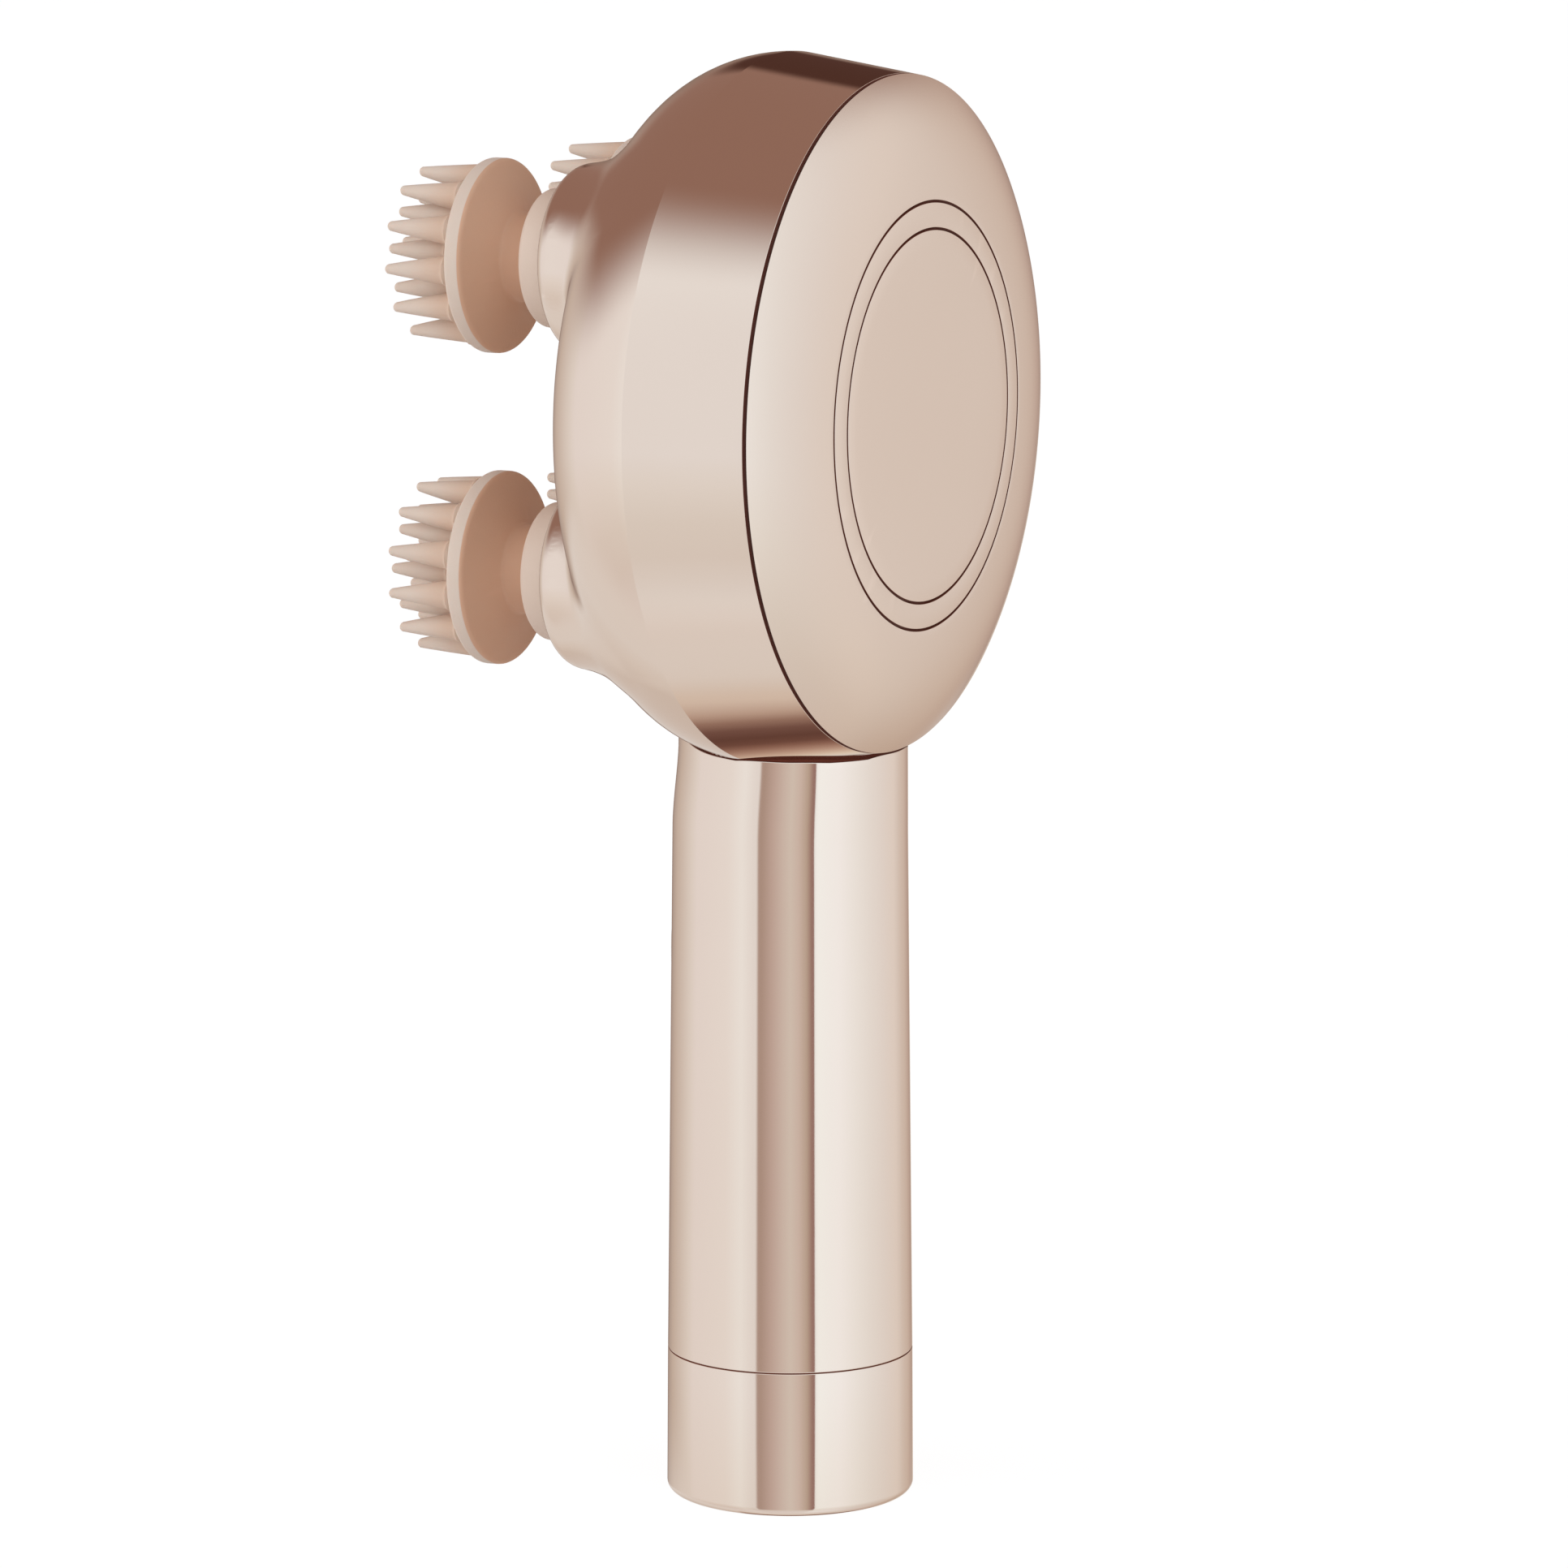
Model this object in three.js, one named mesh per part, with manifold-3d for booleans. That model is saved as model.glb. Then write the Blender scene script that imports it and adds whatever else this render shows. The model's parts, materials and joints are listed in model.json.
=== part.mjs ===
// Electric scalp massager: a round handle, a drum-shaped head and four turning silicone heads.
// Millimetres, +Z up along the handle, the massage heads face -Y, the back cover faces +Y.
// The origin is the centre of the flat base that the handle stands on.
import * as THREE from "three";
import { mergeVertices } from "three/addons/utils/BufferGeometryUtils.js";
import Module from "manifold-3d";

const wasm = await Module();
wasm.setup();

// Handle
const baseRadius = 18.15;
const seamRadius = 18;
const neckRadius = 17.15;
const handleWall = 2;
const baseFillet = 1.4;
const capHeight = 21.5;
const seamGap = 0.35;
const scoopBelowBulkhead = 3;
const scoopLength = 14;
const scoopDepth = 1;
const bulkheadThickness = 3;
const drumAboveBulkhead = 4.15;

// Drum-shaped head, a body of revolution about an axis along Y
const rimRadius = 48.6;
const rimY = 17.3;
const creaseRadius = 51.3;
const creaseY = -0.6;
const frontRadius = 38.8;
const frontY = -17.3;
const frontFillet = 0.6;
const domeFullness = 2;
const domeSideShare = 0.8;
const frontSideShare = 0.4;
const headWall = 2;
const saddleGap = 0.4;

// Back cover and its inlays
const coverRise = 5;
const coverFallPower = 6;
const coverWall = 1.8;
const coverGap = 0.35;
const skirtLength = 3.6;
const ledgeWidth = 2.4;
const ledgeThickness = 1.4;
const inlayRadius = 30.65;
const plateRadius = 26.75;
const inlayDepth = 1.2;
const glueFilm = 0.05;
const ringLineWidth = 0.36;

// Massage heads and their drives
const driveOffset = 22.5;
const lobeRadius = 13.9;
const lobeFlareRadius = 15.4;
const lobeFlareY = -15;
const lobeEndY = -22.8;
const lobeFillet = 2.6;
const lobeBoreRadius = 4;
const lobeTubeRadius = 6.6;
const lobeTubeWall = 1.5;
const lobeTubeEndY = -11;
const collarRadius = 9.95;
const collarThickness = 4.1;
const collarSocketDepth = 2.6;
const collarHubRadius = 3.6;
const collarHubLength = 3.9;
const collarChamfer = 0.5;
const shaftSocketDepth = 0.4;
const shaftRadius = 2;
const shaftRearY = 0.6;
const bushLength = 6.4;
const sealLength = 1.6;
const padRadius = 13.95;
const padRimThickness = 2.5;
const padFrontY = -36.7;
const padConeDepth = 2.2;
const padCrown = 2.6;
const padRimRounding = 0.7;
const padFrontRounding = 0.5;
const stubRadius = 6.4;
const spikeLength = 9.7;
const spikeBaseRadius = 1.7;
const spikeTipRadius = 0.65;
const spikeRootDepth = 0.9;
const innerSpikeExtra = 0.7;
const outerSpikeInset = 2.05;
const middleSpikeSpacing = 4.3;
const innerSpikeSpacing = 4.5;
const padTurns = [8, 10, 0, 0];

// Gear train
const sunTeeth = 32;
const outputTeeth = 20;
const gearWidth = 5;
const gearFrontY = -9;
const toothBacklash = 0.3;
const toothAddendum = 0.9;
const toothDedendum = 1.15;
const toothPressureAngle = 20;
const gearPlateY = -1.5;
const gearPlateThickness = 2.5;
const gearPlateEdgeGap = 0.5;
const postCircleRadius = 40;
const postRadius = 3;
const plateScrewShankRadius = 1.2;
const plateScrewHeadRadius = 2.4;
const plateScrewHeadHeight = 1.5;
const plateScrewLength = 8;

// Motor
const gearboxRadius = 16;
const gearboxLength = 7;
const motorRadius = 14;
const motorLength = 9;
const motorChamfer = 0.8;
const motorBossRadius = 4;
const motorBossHeight = 0.9;
const sunShaftRadius = 2.5;
const sunShaftSocketDepth = 3;

// Neck
const spigotRadius = 10;
const spigotWall = 2.4;
const spigotRootDepth = 4;
const spigotBelowBulkhead = 4.4;
const nutThickness = 3.4;
const nutWidth = 3.6;
const nutNotch = 2.4;
const neckSealThickness = 1.2;
const neckSealWidth = 3;

// Inside the handle
const capFloor = 2.6;
const capSpigotLength = 6;
const capSpigotWall = 2.6;
const capStepDepth = 3;
const sealSectionRadius = 0.65;
const batteryRadius = 9.1;
const batteryLength = 65;
const batteryCentreY = 4.2;
const batteryTopStep = 0.8;
const batteryTerminalRadius = 3;
const batteryBaseRounding = 0.6;
const trayPlate = 1.6;
const trayWall = 1.2;
const boardThickness = 1.2;
const boardWidth = 17;
const boardLength = 54;
const boardAboveTrayBottom = 8.7;
const switchBodySize = 6;
const switchBodyDepth = 3.2;
const plungerRadius = 1.7;
const plungerLength = 1;
const plungerSeat = 0.9;
const leadRadius = 0.75;
const leadSpacing = 5.2;
const leadSteps = 12;
const leadGapWidth = 11;
const leadGapReach = 3.4;
const leadTurnRoom = 4.2;
const leadAboveDrumBottom = 7;

// Power button and status light on the front of the handle
const buttonZ = 78.5;
const bezelWidth = 12.6;
const bezelHeight = 18;
const bezelBand = 1.5;
const bezelDepth = 2.6;
const buttonProud = 0.3;
const buttonFlange = 0.7;
const buttonFlangeThickness = 1;
const buttonStemRadius = 1.7;
const buttonTravel = 0.6;
const lightBelowButton = 14;
const lightRadius = 1;

// Charging socket in the base
const portY = 8;
const portWidth = 8.94;
const portHeight = 3.26;
const portLength = 7;
const portShell = 0.35;
const portMouthZ = 1.6;
const tongueWidth = 6.2;
const tongueThickness = 0.7;
const tongueSetback = 2.2;
const portBackWall = 1;
const plugHeadWidth = 13;
const plugHeadHeight = 7;
const plugHeadThickness = 1;
const plugHeadInset = 0.3;
const plugBungLength = 1.7;
const chargeBoardRadius = 12.4;
const boardPostRadius = 1.8;
const boardPostInset = 1;
const boardPostY = -2;

// Clearances
const fit = 0.3;
const closeFit = 0.15;

// Facets round each kind of circle
const drumFacets = 40;
const handleFacets = 28;
const middleFacets = 20;
const lobeFacets = 16;
const padFacets = 16;
const seatFacets = 12;
const smallFacets = 8;
const spikeFacets = 5;

// Sizes that follow from the ones above: the handle is as long as what it holds
const coverTopY = rimY + coverRise;
const centreDistance = driveOffset * Math.SQRT2;
const gearModule = (2 * centreDistance) / (sunTeeth + outputTeeth);
const plateRearY = gearPlateY + gearPlateThickness;
const gearboxY = plateRearY + closeFit;
const motorY = gearboxY + gearboxLength + closeFit;
const seatRadius = lobeTubeRadius - lobeTubeWall;
const collarRearY = lobeEndY - fit;
const collarFrontY = collarRearY - collarThickness;
const lobeWallY = lobeEndY + headWall;
const handleBottomZ = capHeight + seamGap / 2;
const trayBottomZ = capHeight + capSpigotLength + fit;
const batteryBottomZ = trayBottomZ + trayPlate + fit;
const boardBottomZ = trayBottomZ + boardAboveTrayBottom;
const boardTopZ = boardBottomZ + boardLength;
const trayTopZ = Math.max(batteryBottomZ + batteryLength + fit, boardTopZ + leadTurnRoom);
const bulkheadZ = trayTopZ + trayPlate + fit * 2 + spigotBelowBulkhead;
const bulkheadTopZ = bulkheadZ + bulkheadThickness;
const headCentreZ = bulkheadTopZ + drumAboveBulkhead + Math.max(creaseRadius, rimRadius);
const scoopStartZ = bulkheadZ - scoopBelowBulkhead;
const scoopEndZ = scoopStartZ + scoopLength;
const shellInnerRadiusAt = (z) => handleRadiusAt(z) - handleWall;
const trayFrontY = batteryCentreY - batteryRadius - fit - trayWall;
const boardFrontY = trayFrontY - closeFit - boardThickness;
const switchFrontY = boardFrontY - closeFit - switchBodyDepth;
const chargeBoardZ = portMouthZ + portLength + closeFit;
const capSpigotTopZ = capHeight + capSpigotLength;
const capSpigotRadius = shellInnerRadiusAt(capSpigotTopZ) - fit;
const sealGrooveZ = capHeight + capSpigotLength / 2;
const sealGrooveDepth = sealSectionRadius * 2 - closeFit * 2 + fit;
const buttonSurface = handleRadiusAt(buttonZ);
const outsideY = -baseRadius - 2;
const drumRadiusAt = (y) => rimRadius + ((creaseRadius - rimRadius) * (rimY - y)) / (rimY - creaseY);
const gasketTopY = rimY - skirtLength - closeFit;
const ledgeY = rimY - skirtLength - fit * 2 - ledgeThickness * 2;
const skirtRadius = Math.min(drumRadiusAt(rimY), drumRadiusAt(ledgeY)) - headWall - fit * 2;
const outerSpikeCircle = padRadius - outerSpikeInset;
const middleSpikeCircle = outerSpikeCircle - middleSpikeSpacing;
const innerSpikeCircle = middleSpikeCircle - innerSpikeSpacing;
const spikeRings = [
  { count: 12, radius: outerSpikeCircle, firstAngle: 15, extraLength: 0 },
  { count: 8, radius: middleSpikeCircle, firstAngle: 0, extraLength: innerSpikeExtra },
  { count: 4, radius: innerSpikeCircle, firstAngle: 22.5, extraLength: innerSpikeExtra },
];

// Materials, with the colours seen in daylight studio light
const paint = (color, roughness, metalness) =>
  new THREE.MeshStandardMaterial({ color, roughness, metalness });
const champagne = paint(0xdac5b7, 0.18, 0.75);
const champagneFlat = paint(0xd9c3b4, 0.28, 0.6);
const silicone = paint(0xd8bfae, 0.75, 0);
const mattePlastic = paint(0xdcc6b6, 0.5, 0);
const whitePlastic = paint(0xe9e6df, 0.45, 0);
const greyPlastic = paint(0x6a6764, 0.55, 0);
const blackRubber = paint(0x2a2827, 0.8, 0);
const steel = paint(0xb9bbbd, 0.3, 1);
const bronze = paint(0xa98352, 0.4, 1);
const copperGreen = paint(0x2f5d43, 0.5, 0.1);
const batteryWrap = paint(0x3f7f9a, 0.45, 0);
const redWire = paint(0xa63a33, 0.55, 0);
const blackWire = paint(0x262524, 0.55, 0);
const lightPipe = paint(0xf2efe8, 0.2, 0);

// A closed solid from any three.js geometry
function solidOf(geometry) {
  const bare = geometry.clone();
  for (const name of Object.keys(bare.attributes)) {
    if (name !== "position") bare.deleteAttribute(name);
  }
  const merged = mergeVertices(bare, 1e-4);
  const index = merged.index.array;
  const triangles = [];
  for (let i = 0; i < index.length; i += 3) {
    const [a, b, c] = [index[i], index[i + 1], index[i + 2]];
    if (a !== b && b !== c && c !== a) triangles.push(a, b, c);
  }
  const mesh = new wasm.Mesh({
    numProp: 3,
    vertProperties: new Float32Array(merged.attributes.position.array),
    triVerts: new Uint32Array(triangles),
  });
  return new wasm.Manifold(mesh);
}

function geometryOf(solid) {
  const mesh = solid.getMesh();
  const geometry = new THREE.BufferGeometry();
  geometry.setAttribute("position", new THREE.BufferAttribute(mesh.vertProperties, 3));
  geometry.setIndex(new THREE.BufferAttribute(mesh.triVerts, 1));
  geometry.computeVertexNormals();
  return geometry;
}

// Profiles are lists of [radius, distance along the axis]; counterclockwise ones face outward
function latheGeometry(profile, facets) {
  let doubledArea = 0;
  profile.forEach(([r, h], i) => {
    const [nextR, nextH] = profile[(i + 1) % profile.length];
    doubledArea += r * nextH - nextR * h;
  });
  const ordered = doubledArea > 0 ? profile : [...profile].reverse();
  const points = ordered.map(([r, h]) => new THREE.Vector2(Math.max(r, 0), h));
  const onAxis = points[0].x === 0 && points.at(-1).x === 0;
  if (!onAxis) points.push(points[0].clone());
  return new THREE.LatheGeometry(points, facets);
}

function turnedAboutY(profile, facets, x = 0, z = 0) {
  return solidOf(latheGeometry(profile, facets).translate(x, 0, z));
}

function turnedAboutZ(profile, facets, x = 0, y = 0) {
  return solidOf(latheGeometry(profile, facets).rotateX(Math.PI / 2).translate(x, y, 0));
}

// A straight round rod between two heights on the axis
function rodProfile(radius, from, to) {
  return [[0, from], [radius, from], [radius, to], [0, to]];
}

function ringProfile(inner, outer, from, to) {
  return [[inner, from], [outer, from], [outer, to], [inner, to]];
}

function block(sizeX, sizeY, sizeZ, x, y, z) {
  return solidOf(new THREE.BoxGeometry(sizeX, sizeY, sizeZ).translate(x, y, z));
}

// A slot outline with round ends, longer along the second direction when height > width
function slotShape(width, height) {
  const shape = new THREE.Shape();
  const upright = height > width;
  const radius = Math.min(width, height) / 2;
  const reach = Math.max(width, height) / 2 - radius;
  if (upright) {
    shape.absarc(0, reach, radius, 0, Math.PI);
    shape.absarc(0, -reach, radius, Math.PI, 2 * Math.PI);
  } else {
    shape.absarc(reach, 0, radius, -Math.PI / 2, Math.PI / 2);
    shape.absarc(-reach, 0, radius, Math.PI / 2, (3 * Math.PI) / 2);
  }
  return shape;
}

const slotExtrusion = (width, height, depth) =>
  new THREE.ExtrudeGeometry(slotShape(width, height), {
    depth,
    bevelEnabled: false,
    curveSegments: 6,
  });

// A slot-shaped prism standing on the XY plane between two heights
function slotAlongZ(width, height, fromZ, toZ, y) {
  return solidOf(slotExtrusion(width, height, toZ - fromZ).translate(0, y, fromZ));
}

// A slot-shaped prism along Y, its height along Z
function slotAlongY(width, height, fromY, toY, z) {
  const geometry = slotExtrusion(width, height, toY - fromY);
  return solidOf(geometry.rotateX(Math.PI / 2).translate(0, toY, z));
}

// A closed tube through a stack of circles, each with its own radius and centre
function stackedCircles(rings, facets) {
  const positions = [];
  const index = [];
  for (const { z, radius, centreY = 0 } of rings) {
    for (let i = 0; i < facets; i += 1) {
      const angle = (2 * Math.PI * i) / facets;
      positions.push(radius * Math.cos(angle), centreY + radius * Math.sin(angle), z);
    }
  }
  const bottom = positions.length / 3;
  positions.push(0, rings[0].centreY ?? 0, rings[0].z);
  positions.push(0, rings.at(-1).centreY ?? 0, rings.at(-1).z);
  for (let i = 0; i < facets; i += 1) {
    const next = (i + 1) % facets;
    for (let level = 0; level < rings.length - 1; level += 1) {
      const low = level * facets;
      const high = low + facets;
      index.push(low + i, low + next, high + next);
      index.push(low + i, high + next, high + i);
    }
    const top = (rings.length - 1) * facets;
    index.push(bottom, next, i);
    index.push(bottom + 1, top + i, top + next);
  }
  const geometry = new THREE.BufferGeometry();
  geometry.setAttribute("position", new THREE.Float32BufferAttribute(positions, 3));
  geometry.setIndex(index);
  return solidOf(geometry);
}

// Handle radius: a slight straight taper from the seam to the neck
function handleRadiusAt(z) {
  const share = (z - capHeight) / (scoopStartZ - capHeight);
  return seamRadius + (neckRadius - seamRadius) * Math.min(share, 1);
}

// The drum and its domed front, as an outline pushed out (or in, below zero) by an offset.
// The dome leans from facing sideways to facing forward, and the offset leans with it.
function headOutline(offset, backY, domeSteps) {
  const outline = [[0, backY]];
  outline.push([drumRadiusAt(backY) + offset, backY]);
  const domeDepth = creaseY - (frontY + frontFillet);
  const domeFall = creaseRadius - frontRadius;
  for (let i = 0; i <= domeSteps; i += 1) {
    const lean = i / domeSteps;
    const t = Math.sin((Math.PI / 2) * lean);
    const fall = 1 - (1 - t ** domeFullness) ** (1 / domeFullness);
    const radius = creaseRadius - domeFall * fall + offset * (1 - lean / 2);
    outline.push([radius, creaseY - domeDepth * t - offset * lean * domeSideShare]);
  }
  outline.push([frontRadius - frontFillet + offset * frontSideShare, frontY - offset]);
  outline.push([0, frontY - offset]);
  return outline;
}

// One massage head's place in the head's frame, numbered round the axis
const driveCentres = [1, 2, 3, 4].map((number) => {
  const angle = Math.PI / 4 + ((number - 1) * Math.PI) / 2;
  const reach = driveOffset * Math.SQRT2;
  return { number, x: reach * Math.cos(angle), z: reach * Math.sin(angle) };
});

const postCentres = [0, 1, 2, 3].map((quarter) => ({
  number: quarter + 1,
  x: postCircleRadius * Math.cos((quarter * Math.PI) / 2),
  z: postCircleRadius * Math.sin((quarter * Math.PI) / 2),
}));

function lobeProfile(inset, endY, arcSteps) {
  const r = lobeRadius - inset;
  const corner = lobeFillet - inset / 2;
  const profile = [[0, endY]];
  for (let i = 0; i <= arcSteps; i += 1) {
    const angle = (Math.PI / 2) * (i / arcSteps);
    profile.push([r - corner + corner * Math.sin(angle), endY + corner - corner * Math.cos(angle)]);
  }
  profile.push([lobeFlareRadius - inset, lobeFlareY]);
  profile.push([lobeFlareRadius - inset, gearFrontY]);
  profile.push([0, gearFrontY]);
  return profile;
}

// Drum wall, domed front, four lobes and the neck spigot, moulded in one piece
function makeHeadShell() {
  let outside = turnedAboutY(headOutline(0, rimY - coverGap, 6), drumFacets);
  let inside = turnedAboutY(headOutline(-headWall, rimY + 1, 4), drumFacets);
  for (const { x, z } of driveCentres) {
    outside = outside.add(turnedAboutY(lobeProfile(0, lobeEndY, 3), lobeFacets, x, z));
    inside = inside.add(turnedAboutY(lobeProfile(headWall, lobeWallY, 1), lobeFacets, x, z));
  }
  const spigotEnd = bulkheadZ - spigotBelowBulkhead - headCentreZ;
  const spigotTop = spigotRootDepth - creaseRadius;
  const spigot = turnedAboutZ(rodProfile(spigotRadius, spigotEnd, spigotTop), lobeFacets);
  const spigotBore = turnedAboutZ(
    rodProfile(spigotRadius - spigotWall, spigotEnd - 1, spigotTop + 2),
    lobeFacets,
  );
  let shell = outside.add(spigot).subtract(inside).subtract(spigotBore);
  for (const { x, z } of driveCentres) {
    const tubeProfile = rodProfile(lobeTubeRadius, lobeEndY + headWall / 2, lobeTubeEndY);
    const mouthProfile = rodProfile(lobeBoreRadius, lobeEndY - 1, lobeTubeEndY);
    const seatProfile = rodProfile(seatRadius, lobeWallY, lobeTubeEndY + 1);
    shell = shell
      .add(turnedAboutY(tubeProfile, lobeFacets, x, z))
      .subtract(turnedAboutY(mouthProfile, smallFacets, x, z))
      .subtract(turnedAboutY(seatProfile, seatFacets, x, z));
  }
  const pilotRadius = plateScrewShankRadius + closeFit;
  const postProfile = rodProfile(postRadius, frontY + headWall / 2, gearPlateY - closeFit);
  const pilotProfile = rodProfile(pilotRadius, gearPlateY - plateScrewLength, gearPlateY + 1);
  for (const { x, z } of postCentres) {
    const post = turnedAboutY(postProfile, smallFacets, x, z).intersect(outside);
    shell = shell.add(post).subtract(turnedAboutY(pilotProfile, smallFacets, x, z));
  }
  const ledgeInner = skirtRadius + fit * 2 - ledgeWidth;
  const ledgeOuter = drumRadiusAt(ledgeY) - headWall / 2;
  const ledgeProfile = ringProfile(ledgeInner, ledgeOuter, ledgeY, ledgeY + ledgeThickness);
  return shell.add(turnedAboutY(ledgeProfile, drumFacets));
}

function coverHeightAt(radius) {
  return coverTopY - coverRise * (radius / rimRadius) ** coverFallPower;
}

// Slightly domed cover with a skirt inside the drum and a round recess for the inlays
function makeBackCover() {
  const skirtInner = skirtRadius - coverWall;
  const recessRadius = inlayRadius + ringLineWidth / 2;
  const floorY = coverTopY - inlayDepth;
  const profile = [[0, floorY], [recessRadius, floorY]];
  const domeRings = 4;
  for (let i = 0; i <= domeRings; i += 1) {
    const share = Math.sqrt(i / domeRings);
    const radius = recessRadius + (rimRadius - recessRadius) * share;
    profile.push([radius, coverHeightAt(radius)]);
  }
  profile.push([skirtRadius, rimY]);
  profile.push([skirtRadius, rimY - skirtLength]);
  profile.push([skirtInner, rimY - skirtLength]);
  profile.push([skirtInner, rimY - coverWall / 2]);
  profile.push([recessRadius + coverWall * 2, floorY - coverWall]);
  profile.push([0, floorY - coverWall]);
  return turnedAboutY(profile, drumFacets);
}

function makeCoverRing() {
  const line = ringLineWidth / 2;
  const floorY = coverTopY - inlayDepth + glueFilm;
  return turnedAboutY(ringProfile(plateRadius + line, inlayRadius - line, floorY, coverTopY), drumFacets);
}

function makeCoverPlate() {
  const floorY = coverTopY - inlayDepth + glueFilm;
  return turnedAboutY(rodProfile(plateRadius - ringLineWidth / 2, floorY, coverTopY), drumFacets);
}

function makeCoverGasket() {
  const inner = skirtRadius - ledgeWidth + fit;
  const bottomY = gasketTopY - ledgeThickness + closeFit;
  return turnedAboutY(ringProfile(inner, skirtRadius, bottomY, gasketTopY), drumFacets);
}

// Gear teeth as straight-sided trapezoids; the pitch radius follows from the drive spacing
function gearShape(teeth, firstToothAngle) {
  const pitchRadius = (gearModule * teeth) / 2;
  const addendum = gearModule * toothAddendum;
  const dedendum = gearModule * toothDedendum;
  const tipRadius = pitchRadius + addendum;
  const rootRadius = pitchRadius - dedendum;
  const pitchAngle = (2 * Math.PI) / teeth;
  const halfTooth = pitchAngle / 4 - toothBacklash / (2 * pitchRadius);
  const flank = Math.tan(THREE.MathUtils.degToRad(toothPressureAngle));
  const tipHalf = halfTooth - (flank * addendum) / pitchRadius;
  const rootHalf = halfTooth + (flank * dedendum) / pitchRadius;
  const shape = new THREE.Shape();
  for (let i = 0; i < teeth; i += 1) {
    const middle = firstToothAngle + i * pitchAngle;
    const corners = [
      [rootRadius, -rootHalf],
      [tipRadius, -tipHalf],
      [tipRadius, tipHalf],
      [rootRadius, rootHalf],
    ];
    for (const [radius, turn] of corners) {
      const x = radius * Math.cos(middle + turn);
      const y = radius * Math.sin(middle + turn);
      if (i === 0 && turn === -rootHalf) shape.moveTo(x, y);
      else shape.lineTo(x, y);
    }
  }
  shape.closePath();
  return shape;
}

// The shape lies in the XZ plane after the turn, so its angles are counted from +X towards +Z
function makeGear(teeth, firstToothAngle, boreRadius) {
  const disc = new THREE.ExtrudeGeometry(gearShape(teeth, firstToothAngle), {
    depth: gearWidth,
    bevelEnabled: false,
  });
  disc.rotateX(Math.PI / 2).translate(0, gearFrontY + gearWidth, 0);
  const bore = turnedAboutY(rodProfile(boreRadius, gearFrontY - 1, gearFrontY + gearWidth + 1), smallFacets);
  return solidOf(disc).subtract(bore);
}

function makeSunShaft() {
  const endY = plateRearY + fit + sunShaftSocketDepth;
  return turnedAboutY(rodProfile(sunShaftRadius, gearFrontY - fit, endY), smallFacets);
}

function makeGearPlate() {
  const radius = rimRadius - headWall - ledgeWidth - gearPlateEdgeGap;
  const holes = [
    { radius: sunShaftRadius + fit * 2, x: 0, z: 0 },
    ...driveCentres.map(({ x, z }) => ({ radius: shaftRadius + closeFit, x, z })),
    ...postCentres.map(({ x, z }) => ({ radius: plateScrewShankRadius + fit, x, z })),
  ];
  let plate = turnedAboutY(rodProfile(radius, gearPlateY, plateRearY), drumFacets);
  for (const hole of holes) {
    const bore = rodProfile(hole.radius, gearPlateY - 1, plateRearY + 1);
    plate = plate.subtract(turnedAboutY(bore, smallFacets, hole.x, hole.z));
  }
  return plate;
}

function makePlateScrew() {
  const headY = plateRearY + closeFit;
  const profile = [
    [0, gearPlateY - plateScrewLength + fit],
    [plateScrewShankRadius, gearPlateY - plateScrewLength + fit * 2],
    [plateScrewShankRadius, headY],
    [plateScrewHeadRadius, headY],
    [plateScrewHeadRadius, headY + plateScrewHeadHeight * 0.6],
    [plateScrewHeadRadius * 0.7, headY + plateScrewHeadHeight],
    [0, headY + plateScrewHeadHeight],
  ];
  return turnedAboutY(profile, smallFacets);
}

function makeMotorGearbox() {
  const socketRadius = sunShaftRadius + fit;
  const socketEnd = plateRearY + sunShaftSocketDepth + fit * 2;
  const profile = [
    [0, socketEnd],
    [socketRadius, socketEnd],
    [socketRadius, gearboxY],
    [gearboxRadius, gearboxY],
    [gearboxRadius, gearboxY + gearboxLength],
    [0, gearboxY + gearboxLength],
  ];
  return turnedAboutY(profile, middleFacets);
}

function makeMotorCan() {
  const rearY = motorY + motorLength;
  const profile = [
    [0, motorY],
    [motorRadius, motorY],
    [motorRadius, rearY - motorChamfer],
    [motorRadius - motorChamfer, rearY],
    [motorBossRadius, rearY],
    [motorBossRadius, rearY + motorBossHeight],
    [0, rearY + motorBossHeight],
  ];
  return turnedAboutY(profile, middleFacets);
}

// Matte hub that turns in front of each lobe and holds the silicone head in its socket
function makeDriveCollar() {
  const socketRadius = stubRadius + fit;
  const hubEndY = collarRearY + collarHubLength;
  const profile = [
    [0, collarFrontY + collarSocketDepth],
    [socketRadius, collarFrontY + collarSocketDepth],
    [socketRadius, collarFrontY],
    [collarRadius - collarChamfer, collarFrontY],
    [collarRadius, collarFrontY + collarChamfer],
    [collarRadius, collarRearY],
    [collarHubRadius, collarRearY],
    [collarHubRadius, hubEndY],
    [shaftRadius + closeFit, hubEndY],
    [shaftRadius + closeFit, collarRearY - shaftSocketDepth],
    [0, collarRearY - shaftSocketDepth],
  ];
  return turnedAboutY(profile, padFacets);
}

function makeDriveShaft() {
  const frontEndY = collarRearY - shaftSocketDepth / 2;
  return turnedAboutY(rodProfile(shaftRadius, frontEndY, shaftRearY), smallFacets);
}

function makeShaftSeal() {
  const startY = lobeWallY + closeFit;
  return turnedAboutY(
    ringProfile(collarHubRadius + fit, seatRadius - fit, startY, startY + sealLength),
    seatFacets,
  );
}

function makeShaftBush() {
  const endY = lobeTubeEndY - fit;
  return turnedAboutY(
    ringProfile(shaftRadius + closeFit, seatRadius - closeFit, endY - bushLength, endY),
    seatFacets,
  );
}

// The disc's front is slightly crowned, so the inner spikes reach further
function crownAt(radius) {
  return padFrontY - padCrown * (1 - (radius / padRadius) ** 2);
}

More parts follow.
